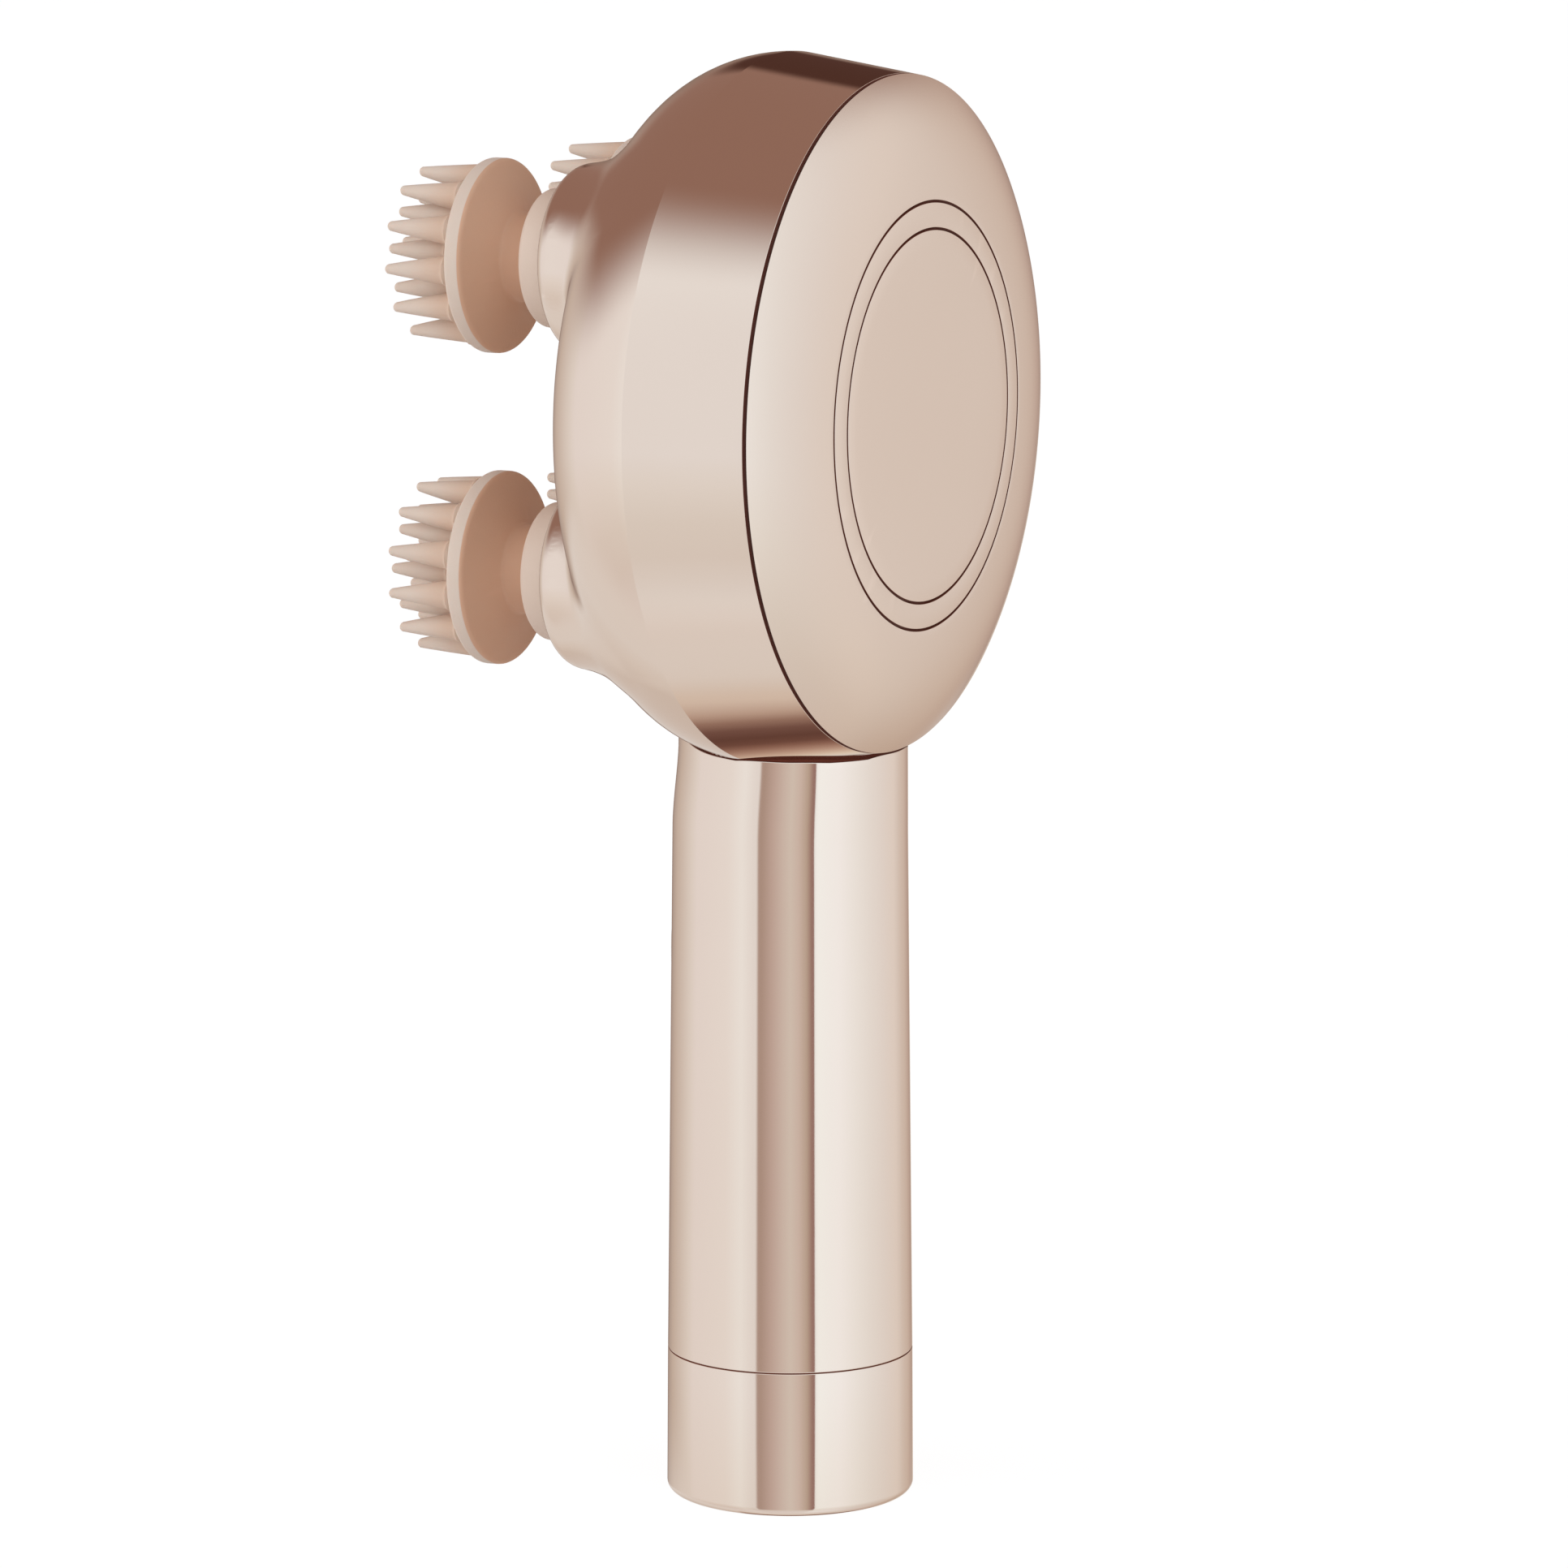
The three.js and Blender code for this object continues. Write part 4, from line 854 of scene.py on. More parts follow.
# %% [markdown]
# ## The back cover
# The cover is a shallow dome that falls faster near its edge. A ring and a round plate lie in a
# recess, flush with it, and the hairline gaps between them show as two dark circles. They could be
# drawn as lines in the shader, but real gaps stay right from every side, so the three pieces are
# turned separately, and what lies inside a gap is painted with a dark shade.

# %% Cover
INLAY_RADIUS = 30.65
PLATE_RADIUS = 26.75
HAIRLINE = 0.4
RECESS_DEPTH = 1.2
COVER_WALL = 1.8
SKIRT_DEPTH = 3.6
SKIRT_PLAY = 0.6
COVER_EDGE = 0.1
INLAY_ROUNDING = 0.05
DOME_STEPS = 28
DOME_POWER = 6
COVER_RISE = COVER_TOP - RIM_Y
head_centre = (0, HEAD_Z)


def cover_height(radius):
    return COVER_TOP - COVER_RISE * (radius / RIM_RADIUS) ** DOME_POWER


recess_radius = INLAY_RADIUS + HAIRLINE / 2
recess_floor = COVER_TOP - RECESS_DEPTH
skirt_radius = RIM_RADIUS - SHELL_WALL - SKIRT_PLAY
cover_corners = [(0, recess_floor, 0), (recess_radius, recess_floor, 0)]
cover_corners.append((recess_radius, cover_height(recess_radius), INLAY_ROUNDING))
for step in range(1, DOME_STEPS):
    radius = recess_radius + (RIM_RADIUS - recess_radius) * math.sin(math.pi / 2 * step / DOME_STEPS)
    cover_corners.append((radius, cover_height(radius), 0))
cover_corners += [
    (RIM_RADIUS, RIM_Y, 0),
    (RIM_RADIUS - 2 * COVER_EDGE, RIM_Y - COVER_EDGE, 0),
    (skirt_radius, RIM_Y - COVER_EDGE, 0),
    (skirt_radius, RIM_Y - SKIRT_DEPTH, 0),
    (skirt_radius - COVER_WALL, RIM_Y - SKIRT_DEPTH, 0),
    (skirt_radius - COVER_WALL, RIM_Y - COVER_WALL / 2, 0),
    (recess_radius + COVER_WALL * 2, recess_floor - COVER_WALL, 0),
    (0, recess_floor - COVER_WALL, 0),
]
cover_finishes = [satin_plating, shadow_gap]
cover_skin = turned_piece(
    "cover_skin", rounded(cover_corners), "Y", head_centre, DRUM_SEGMENTS, cover_finishes
)
print("cover faces", len(cover_skin.data.polygons))

# %% Ring and plate in the recess
inlay_base = recess_floor + 0.05
ring_inside = PLATE_RADIUS + HAIRLINE / 2
ring_outside = INLAY_RADIUS - HAIRLINE / 2
ring_corners = [
    (ring_inside, inlay_base, 0),
    (ring_outside, inlay_base, 0),
    (ring_outside, cover_height(INLAY_RADIUS), INLAY_ROUNDING),
    (ring_inside, cover_height(PLATE_RADIUS), INLAY_ROUNDING),
]
ring_skin = turned_piece(
    "cover_ring_skin", rounded(ring_corners), "Y", head_centre, DRUM_SEGMENTS, cover_finishes, ring=True
)
plate_edge = PLATE_RADIUS - HAIRLINE / 2
plate_corners = [(0, inlay_base, 0), (plate_edge, inlay_base, 0)]
plate_corners.append((plate_edge, cover_height(PLATE_RADIUS), INLAY_ROUNDING))
for share in (0.9, 0.75, 0.55, 0.3, 0):
    plate_corners.append((PLATE_RADIUS * share, cover_height(PLATE_RADIUS * share), 0))
plate_skin = turned_piece(
    "cover_plate_skin", rounded(plate_corners), "Y", head_centre, DRUM_SEGMENTS, cover_finishes
)
print("ring from radius", round(ring_inside, 2), "to", round(ring_outside, 2))
print("plate to radius", round(plate_edge, 2))

# %% Paint a dark shade on what lies inside the gaps, and join the three to the frame
SHOWN_TILT = 0.6
for piece, node in ((cover_skin, "back_cover"), (ring_skin, "cover_ring"), (plate_skin, "cover_plate")):
    for polygon in piece.data.polygons:
        x, y, z = polygon.center / MM
        on_floor = y < recess_floor + TOUCHING and math.hypot(x, z - HEAD_Z) < recess_radius
        # Faces turned away from the back, and the recess floor, get painted dark shade
        if polygon.normal.y < SHOWN_TILT or on_floor:
            polygon.material_index = 1
    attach(piece, "housing")
    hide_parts(node)
    print(node, "shown faces", sum(polygon.material_index == 0 for polygon in piece.data.polygons))

# %% [markdown]
# ## The handle
# The grip is a tube with a slight taper, drawn in a little at the front under the head, and its top
# edge follows the drum like a saddle, with a seam, painted dark inside as shade, that widens under the
# middle of the drum. A boolean of tube and drum would give that edge, but the handle mirrors one tall
# band along its whole length, so the tube is laid out as a clean grid whose top rows are solved against the
# head's distance.

# %% The handle's section at any height
SEAM_Z = 21.5
SEAM_RADIUS = 18
NECK_RADIUS = 17.15
SCOOP_START = 98.6
SCOOP_END = 112.6
SCOOP_DEPTH = 1
HANDLE_SEGMENTS = 192


def handle_section(z):
    """Radius of the handle and how far its centre lies toward the cover at a height."""
    share = min((z - SEAM_Z) / (SCOOP_START - SEAM_Z), 1)
    radius = SEAM_RADIUS + (NECK_RADIUS - SEAM_RADIUS) * share
    scooped = SCOOP_DEPTH / 2 * float(ease(z, SCOOP_START, SCOOP_END))
    return radius - scooped, scooped


def handle_ring(z, inset):
    radius, shift = handle_section(z)
    ring = []
    for i in range(HANDLE_SEGMENTS):
        angle = 2 * math.pi * i / HANDLE_SEGMENTS
        ring.append(((radius - inset) * math.cos(angle), shift + (radius - inset) * math.sin(angle), z))
    return ring


print("handle radius at the seam and at the neck", SEAM_RADIUS, NECK_RADIUS)

# %% The saddle: how high the tube can rise under the head
SADDLE_GAPS = (0.29, 1.2)
SADDLE_LOWEST = 90
SADDLE_HALVINGS = 40
GAP_WIDENS = (-4, 8)
GAP_NARROWS = (14.5, 17.1)


def saddle_height(x, y, gaps):
    """Height at which a vertical line comes near the head, with a narrow gap that widens in the middle."""
    narrow, wide = gaps
    wanted_gap = narrow + (wide - narrow) * ease(y, *GAP_WIDENS) * (1 - ease(y, *GAP_NARROWS))
    low, high = SADDLE_LOWEST, HEAD_Z
    for _ in range(SADDLE_HALVINGS):
        middle = (low + high) / 2
        gap = head_distance(np.array([x]), np.array([y]), np.array([middle - HEAD_Z]))[0]
        if gap > wanted_gap:
            low = middle
        else:
            high = middle
    return low


def saddle_ring(inset, drop, gaps=SADDLE_GAPS):
    return [(x, y, saddle_height(x, y, gaps) - drop) for x, y, _ in handle_ring(SCOOP_END, inset)]


print("saddle under the drum's axis at", round(saddle_height(0, 0, SADDLE_GAPS), 1))

# %% Stack the tube from its foot to the saddle, then step down inside the seam
SEAM_GAP = 0.16
HANDLE_WALL = 2
TUBE_ROWS = 12
SCOOP_ROWS = 16
EDGE = 0.12
LIP_INSET = 0.36
SEAL_INSET = 1.3
STEP_INSET = 0.02
SEAL_GAPS = (0.41, 0.7)
CLOSED_GAPS = (0.05, 0.05)
edge_middle = EDGE * 0.3
bottom_z = SEAM_Z + SEAM_GAP / 2
tube_start = bottom_z + EDGE
layers = [handle_ring(bottom_z, HANDLE_WALL), handle_ring(bottom_z, EDGE)]
layers.append(handle_ring(bottom_z + edge_middle, edge_middle))
for row in range(TUBE_ROWS + 1):
    layers.append(handle_ring(tube_start + (SCOOP_START - tube_start) * row / TUBE_ROWS, 0))
for row in range(1, SCOOP_ROWS - 1):
    layers.append(handle_ring(SCOOP_START + (SCOOP_END - SCOOP_START) * row / SCOOP_ROWS, 0))
top = saddle_ring(0, EDGE)
layers.append([tuple((np.array(a) + np.array(b)) / 2) for a, b in zip(layers[-1], top)])
layers += [top, saddle_ring(edge_middle, edge_middle), saddle_ring(EDGE, 0), saddle_ring(LIP_INSET, 0)]
layers.append(saddle_ring(LIP_INSET + STEP_INSET, 0, SEAL_GAPS))
layers.append(saddle_ring(SEAL_INSET, 0, SEAL_GAPS))
layers.append(saddle_ring(SEAL_INSET + STEP_INSET, 0, CLOSED_GAPS))
layers.append(saddle_ring(HANDLE_WALL, 0, CLOSED_GAPS))
handle_skin = add_piece("handle_skin", *stacked(layers, ring=True), [plating, shadow_gap])
face_outward(handle_skin)
print("saddle from", round(min(p[2] for p in top), 1), "to", round(max(p[2] for p in top), 1))

# %% [markdown]
# ## Button and light
# A slot-shaped bezel sits flush in the front of the grip with a dished key inside and a pin-head
# light below. The openings are cut through the tube with booleans, which is quick, and the tube is
# then given its own true normals, so the cut leaves no dents in the reflections.

# %% Cut the openings
button_low, button_high = box_mm("power_button")
bezel_low, bezel_high = box_mm("button_bezel")
light_low, light_high = box_mm("status_light")
BUTTON_Z = (button_low.z + button_high.z) / 2
LIGHT_Z = (light_low.z + light_high.z) / 2
BEZEL_WIDTH = bezel_high.x - bezel_low.x
BEZEL_HEIGHT = bezel_high.z - bezel_low.z
BEZEL_BAND = 1.5
CLEARANCE = 0.3
LIGHT_HOLE = 1.15
CUT_FROM = -25
CUT_TO = -8
surface_radius = handle_section(BUTTON_Z)[0]


def cut(piece, points, faces):
    """Takes a closed shape out of a piece and keeps the result as its mesh."""
    cutter = add_piece("cutter", points, faces, [])
    face_outward(cutter)
    boolean = piece.modifiers.new("cut", "BOOLEAN")
    boolean.object = cutter
    boolean.solver = "EXACT"
    evaluated = piece.evaluated_get(bpy.context.evaluated_depsgraph_get())
    result = bpy.data.meshes.new_from_object(evaluated)
    piece.modifiers.clear()
    piece.data = result
    bpy.data.objects.remove(cutter)


def slot_layer(width, height, y, z):
    return [(u, y, z + v) for u, v in slot_outline(width, height)]


opening_width = BEZEL_WIDTH + CLEARANCE
opening_height = BEZEL_HEIGHT + CLEARANCE
opening = [slot_layer(opening_width, opening_height, y, BUTTON_Z) for y in (CUT_FROM, CUT_TO)]
light_hole = [(0, CUT_FROM), (LIGHT_HOLE, CUT_FROM), (LIGHT_HOLE, CUT_TO), (0, CUT_TO)]
cut(handle_skin, *stacked(opening))
cut(handle_skin, *turned(light_hole, "Y", (0, LIGHT_Z), 32))
print("opening in mm", round(opening_width, 2), "by", round(opening_height, 2))

# %% The handle's true normals, and the painted dark shade inside its seam
FACING = 0.93
REACH_SPAN = 0.5


def tube_reach(z, away):
    """How far the tube's surface lies out in a level direction at a height."""
    radius, shift = handle_section(z)
    return radius + shift * away.y


def tube_normal(point, away):
    lower = tube_reach(point.z - REACH_SPAN, away)
    upper = tube_reach(point.z + REACH_SPAN, away)
    return Vector((away.x, away.y, (lower - upper) / (2 * REACH_SPAN))).normalized()


handle_skin.data.shade_smooth()
true_normals = []
for polygon in handle_skin.data.polygons:
    middle = polygon.center / MM
    radius, shift = handle_section(middle.z)
    below_surface = radius - math.hypot(middle.x, middle.y - shift)
    # Faces inside the seam get painted dark shade
    if middle.z > SCOOP_START and below_surface > EDGE:
        polygon.material_index = 1
    for loop in polygon.loop_indices:
        point = handle_skin.data.vertices[handle_skin.data.loops[loop].vertex_index].co / MM
        away = Vector((point.x, point.y - handle_section(point.z)[1], 0)).normalized()
        facing = polygon.normal.dot(away)
        if facing > FACING:
            true_normals.append(tuple(tube_normal(point, away)))
        elif facing < -FACING:
            true_normals.append(tuple(-away))
        else:
            true_normals.append(tuple(polygon.normal))
handle_skin.data.normals_split_custom_set(true_normals)
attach(handle_skin, "housing")
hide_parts("handle_shell")
print("handle faces", len(handle_skin.data.polygons))

# %% Bezel and key
def on_handle(width, height, proud):
    """A slot outline laid on the handle's curve."""
    radius = surface_radius + proud
    return [(u, -math.sqrt(radius**2 - u**2), BUTTON_Z + v) for u, v in slot_outline(width, height)]


def behind_handle(width, height, depth):
    return slot_layer(width, height, -surface_radius + depth, BUTTON_Z)


# Each step is an inset from the outline and how far it stands proud of the handle
BEZEL_DEPTH = 2.6
BEZEL_OUTER_STEPS = ((0, -0.12), (0.1, 0.02), (0.35, 0.12))
BEZEL_INNER_STEPS = ((-0.9, 0.1), (-0.3, -0.05), (0, -0.35))
KEY_PLAY = 0.6
KEY_STEM = 4
KEY_EDGE_STEPS = ((0, -0.3), (0.15, 0.02), (0.5, 0.2), (1.1, 0.27))
KEY_DISH_STEPS = ((2.2, 0.24), (4.2, 0.12), (6.4, 0.02), (8.2, -0.02))
hole_width = BEZEL_WIDTH - BEZEL_BAND * 2
hole_height = BEZEL_HEIGHT - BEZEL_BAND * 2
bezel_layers = [behind_handle(BEZEL_WIDTH, BEZEL_HEIGHT, BEZEL_DEPTH)]
for inset, proud in BEZEL_OUTER_STEPS:
    bezel_layers.append(on_handle(BEZEL_WIDTH - inset, BEZEL_HEIGHT - inset, proud))
for inset, proud in BEZEL_INNER_STEPS:
    bezel_layers.append(on_handle(hole_width - inset, hole_height - inset, proud))
bezel_layers.append(behind_handle(hole_width, hole_height, BEZEL_DEPTH))
bezel_skin = add_piece("bezel_skin", *stacked(bezel_layers, ring=True), [satin_plating])
key_width = hole_width - KEY_PLAY
key_height = hole_height - KEY_PLAY
key_layers = [behind_handle(key_width, key_height, button_high.y + surface_radius - KEY_STEM)]
for inset, proud in KEY_EDGE_STEPS + KEY_DISH_STEPS:
    key_layers.append(on_handle(key_width - inset, key_height - inset, proud))
key_skin = add_piece("power_key_skin", *stacked(key_layers), [satin_plating])
print("key in mm", round(key_width, 2), "by", round(key_height, 2))

# %% Light window, and all three joined to the frame
LIGHT_RADIUS = 0.98
LIGHT_CROWN = 0.5
light_face = -handle_section(LIGHT_Z)[0]
light_corners = [
    (0, light_face - 0.05, 0),
    (LIGHT_CROWN, light_face, 0),
    (LIGHT_RADIUS, light_face + 0.2, 0.2),
    (LIGHT_RADIUS, light_high.y, 0),
    (0, light_high.y, 0),
]
light_skin = turned_piece("light_window", rounded(light_corners), "Y", (0, LIGHT_Z), 32, [clear_light])
for piece in (bezel_skin, key_skin):
    face_outward(piece)
    soften(piece, sharp_above=40)
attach(bezel_skin, "housing")
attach(key_skin, "button")
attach(light_skin, "housing")
for piece, node, slot_name in (
    (bezel_skin, "button_bezel", "plated_cover"),
    (key_skin, "power_button", "plated_shell"),
    (light_skin, "status_light", "light_pipe"),
):
    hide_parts(node)
print("button at", round(BUTTON_Z, 1), "light at", round(LIGHT_Z, 1))

# %% [markdown]
# ## The end cap and its plug
# The foot is a cup that pushes into the tube, with a rounded lower edge and a recess in its flat
# underside where a silicone plug covers the charging socket. It is a turned shape with two slots
# cut in it. The plug could stay a plain block, but its edges are soft on the real one, so it is a
# stack of slot outlines with rounded corners.

# %% End cap
BASE_RADIUS = box_mm("end_cap")[1].x
BASE_ROUNDING = 1.4
BASE_FLOOR = 2.6
CAP_WALL = 2
SPIGOT_RADIUS = 15.6
SPIGOT_WALL = 2.6
SPIGOT_LENGTH = 6
GROOVE_INSET = 0.22
cap_top = SEAM_Z - SEAM_GAP / 2
groove_top = cap_top + SEAM_GAP - 0.02
cap_corners = [
    (0, 0, 0),
    (BASE_RADIUS, 0, BASE_ROUNDING),
    (SEAM_RADIUS, cap_top, 0.1),
    (SEAM_RADIUS - GROOVE_INSET, cap_top, 0),
    (SEAM_RADIUS - GROOVE_INSET, groove_top, 0),
    (SPIGOT_RADIUS, groove_top, 0),
    (SPIGOT_RADIUS, SEAM_Z + SPIGOT_LENGTH, 0),
    (SPIGOT_RADIUS - SPIGOT_WALL, SEAM_Z + SPIGOT_LENGTH, 0),
    (SPIGOT_RADIUS - SPIGOT_WALL, cap_top - SPIGOT_LENGTH / 2, 0),
    (BASE_RADIUS - CAP_WALL, cap_top - SPIGOT_LENGTH, 0),
    (BASE_RADIUS - CAP_WALL, BASE_FLOOR, 0),
    (0, BASE_FLOOR, 0),
]
cap_mesh = turned(rounded(cap_corners, 8), "Z", (0, 0), HANDLE_SEGMENTS)
cap_skin = add_piece("end_cap_skin", *cap_mesh, [plating, shadow_gap])
face_outward(cap_skin)
print("foot radius", round(BASE_RADIUS, 2))

# %% Cut the recess of the plug and the opening of the socket, and paint the seam's groove in dark shade
PORT_Y = (box_mm("usb_port")[0].y + box_mm("usb_port")[1].y) / 2
PORT_WIDTH = 9.24
PORT_HEIGHT = 3.56
RECESS_TOP = 1.45
plug_low, plug_high = box_mm("port_plug")
PLUG_WIDTH = plug_high.x - plug_low.x
PLUG_HEIGHT = plug_high.y - plug_low.y


def flat_slot(width, height, z):
    return [(u, PORT_Y + v, z) for u, v in slot_outline(width, height)]


recess = [flat_slot(PLUG_WIDTH + CLEARANCE, PLUG_HEIGHT + CLEARANCE, z) for z in (-1, RECESS_TOP)]
socket_opening = [flat_slot(PORT_WIDTH, PORT_HEIGHT, z) for z in (-1.2, 4)]
cut(cap_skin, *stacked(recess))
cut(cap_skin, *stacked(socket_opening))
soften(cap_skin)
# Faces inside the seam's groove get painted dark shade
for polygon in cap_skin.data.polygons:
    if polygon.center.z / MM > cap_top - TOUCHING:
        polygon.material_index = 1
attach(cap_skin, "housing")
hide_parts("end_cap")
print("cap faces", len(cap_skin.data.polygons))

# %% Plug with a tongue
TONGUE_WIDTH = 7.9
TONGUE_HEIGHT = 2.26
TONGUE_TAPER = 0.4
plug_layers = []
for inset, rise in ((0.5, 0), (0.14, 0.08), (0, 0.3), (0, 0.98)):
    plug_layers.append(flat_slot(PLUG_WIDTH - inset, PLUG_HEIGHT - inset, plug_low.z + rise))
plug_layers += [
    flat_slot(TONGUE_WIDTH, TONGUE_HEIGHT, plug_low.z + 1),
    flat_slot(TONGUE_WIDTH, TONGUE_HEIGHT, plug_high.z - 0.3),
    flat_slot(TONGUE_WIDTH - TONGUE_TAPER, TONGUE_HEIGHT - TONGUE_TAPER, plug_high.z),
]
plug_skin = add_piece("port_plug_skin", *stacked(plug_layers), [silicone])
face_outward(plug_skin)
soften(plug_skin, sharp_above=50)
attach(plug_skin, "plug")
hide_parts("port_plug")
print("plug in mm", round(PLUG_WIDTH, 2), "by", round(PLUG_HEIGHT, 2))

# %% [markdown]
# ## The massage heads
# Each head is one silicone moulding: a shallow dish with a soft rim, a stub that pushes into the
# collar, and 24 conical spikes in rings of 12, 8 and 4, splayed a little toward their tips. The dish
# is turned. The spikes could be copied by a loop, but they repeat round circles, so Geometry Nodes
# place one spike on three of them, with the counts and radii as named inputs, and the inner rings
# lifted by the crown of the dish.

# %% A tree that plants spikes on three circles
RING_NAMES = ("Outer", "Middle", "Inner")
RING_INPUTS = ("Count", "Radius", "Turn", "Lift")


def spike_tree(spike_finish):
    tree = bpy.data.node_groups.new("spike_rings", "GeometryNodeTree")
    tree.interface.new_socket("Geometry", in_out="INPUT", socket_type="NodeSocketGeometry")
    for ring_name in RING_NAMES:
        for label in RING_INPUTS:
            kind = "NodeSocketInt" if label == "Count" else VALUE
            tree.interface.new_socket(f"{ring_name} {label}", in_out="INPUT", socket_type=kind)
    tree.interface.new_socket("Geometry", in_out="OUTPUT", socket_type="NodeSocketGeometry")
    start = tree.nodes.new("NodeGroupInput")
    end = tree.nodes.new("NodeGroupOutput")
    join = tree.nodes.new("GeometryNodeJoinGeometry")
    for ring_name in RING_NAMES:
        count, radius, turn, lift = (start.outputs[f"{ring_name} {label}"] for label in RING_INPUTS)
        circle = add_node(tree, "GeometryNodeMeshCircle", {"Vertices": count, "Radius": radius})
        turned_by = add_node(tree, "ShaderNodeCombineXYZ", {"Z": turn}).outputs[0]
        lifted_by = add_node(tree, "ShaderNodeCombineXYZ", {"Z": lift}).outputs[0]
        placed = add_node(
            tree,
            "GeometryNodeTransform",
            {"Geometry": circle.outputs["Mesh"], "Rotation": turned_by, "Translation": lifted_by},
        )
        spikes = add_node(
            tree,
            "GeometryNodeInstanceOnPoints",
            {"Points": placed.outputs["Geometry"], "Instance": start.outputs["Geometry"]},
        )
        tree.links.new(spikes.outputs["Instances"], join.inputs["Geometry"])
    real = add_node(tree, "GeometryNodeRealizeInstances", {"Geometry": join.outputs["Geometry"]})
    painted = add_node(
        tree, "GeometryNodeSetMaterial", {"Geometry": real.outputs["Geometry"], "Material": spike_finish}
    )
    tree.links.new(painted.outputs["Geometry"], end.inputs["Geometry"])
    return tree


planting = spike_tree(silicone)
print("nodes in the planting tree", len(planting.nodes))

# %% One spike
SPIKE_LENGTH = 9.7
SPIKE_ROOT = 2.05
SPIKE_TIP = 0.68
SPIKE_SUNK = 1.2
FLARE_WIDTH = 0.4
FLARE_BOTTOM = -0.15
FLARE_TOP = 0.65
CONE_END = SPIKE_TIP * 1.02


def spike_outline():
    """A cone that leaves the dish in a small flare and ends in a round tip, standing along +Z."""
    outline = [(0, -SPIKE_SUNK), (SPIKE_ROOT - 0.3, -SPIKE_SUNK), (SPIKE_ROOT + FLARE_WIDTH, FLARE_BOTTOM)]
    for step in range(1, 5):
        t = step / 4
        height = (FLARE_TOP - FLARE_BOTTOM) * t + FLARE_BOTTOM
        outline.append((SPIKE_ROOT + FLARE_WIDTH * (1 - t) ** 2, height))
    tip_centre = SPIKE_LENGTH - SPIKE_TIP
    for step in range(1, 5):
        t = step / 5
        outline.append((SPIKE_ROOT + (CONE_END - SPIKE_ROOT) * t, FLARE_TOP + (tip_centre - FLARE_TOP) * t))
    for step in range(6):
        angle = math.pi / 2 * step / 6
        outline.append((SPIKE_TIP * math.cos(angle), tip_centre + SPIKE_TIP * math.sin(angle)))
    outline.append((0, SPIKE_LENGTH))
    return outline


print("points in a spike's outline", len(spike_outline()))

# %% All the spikes of a head: each ring's count, radius, first angle and lift over the crown
PAD_RADIUS = 13.95
PAD_FRONT = -36.7
PAD_CROWN = 2.6
SPIKE_SPLAY = 0.075
SPIKE_RINGS = {"Outer": (12, 10.9, 15, -0.05), "Middle": (8, 7, 0, 0.65), "Inner": (4, 2.9, 22.5, 0.65)}


def crown_at(radius):
    return PAD_CROWN * (1 - (radius / PAD_RADIUS) ** 2)


def planted_spikes(turn):
    """All 24 spikes of one head round +Z as a plain mesh, turned by some degrees."""
    holder = add_piece("spike_holder", *turned(spike_outline(), "Z", (0, 0), 16), [silicone])
    face_outward(holder)
    modifier = holder.modifiers.new("spikes", "NODES")
    modifier.node_group = planting
    inputs = [item for item in planting.interface.items_tree if item.in_out == "INPUT"]
    sockets = {item.name: item.identifier for item in inputs}
    for ring_name, (count, radius, first_angle, lift) in SPIKE_RINGS.items():
        modifier[sockets[f"{ring_name} Count"]] = count
        modifier[sockets[f"{ring_name} Radius"]] = radius * MM
        modifier[sockets[f"{ring_name} Turn"]] = math.radians(first_angle + turn)
        modifier[sockets[f"{ring_name} Lift"]] = (crown_at(radius) + lift) * MM
    evaluated = holder.evaluated_get(bpy.context.evaluated_depsgraph_get())
    mesh = bpy.data.meshes.new_from_object(evaluated)
    holder.modifiers.clear()
    bpy.data.objects.remove(holder)
    for vertex in mesh.vertices:
        splay = 1 + SPIKE_SPLAY * max(vertex.co.z, 0) / (SPIKE_LENGTH * MM)
        vertex.co.x *= splay
        vertex.co.y *= splay
    return mesh


print("spikes in a head", sum(ring[0] for ring in SPIKE_RINGS.values()))

# %% The dish with its stub
STUB_RADIUS = 6.4
STUB_REAR = -24.9
DISH_THICKNESS = 2.5
DISH_RISE = 1.9
DISH_POWER = 1.6


def dish_outline():
    """The dish and its stub in the head's frame: (radius, y, rounding) before the corners are rounded."""
    back = PAD_FRONT + DISH_THICKNESS
    corners = [(0, STUB_REAR, 0), (STUB_RADIUS, STUB_REAR, 0.3), (STUB_RADIUS, back + DISH_THICKNESS, 0.8)]
    for share in (0.3, 0.6, 0.85):
        radius = STUB_RADIUS + 1 + (PAD_RADIUS - STUB_RADIUS - 1) * share
        corners.append((radius, back + DISH_RISE * (1 - share) ** DISH_POWER, 0))
    corners += [(PAD_RADIUS, back - 0.05, 0.7), (PAD_RADIUS, PAD_FRONT, 0.6)]
    for share in (0.9, 0.75, 0.6, 0.45, 0.3, 0.15, 0):
        corners.append((PAD_RADIUS * share, PAD_FRONT - crown_at(PAD_RADIUS * share), 0))
    return rounded(corners)


print("points in the dish's outline", len(dish_outline()))

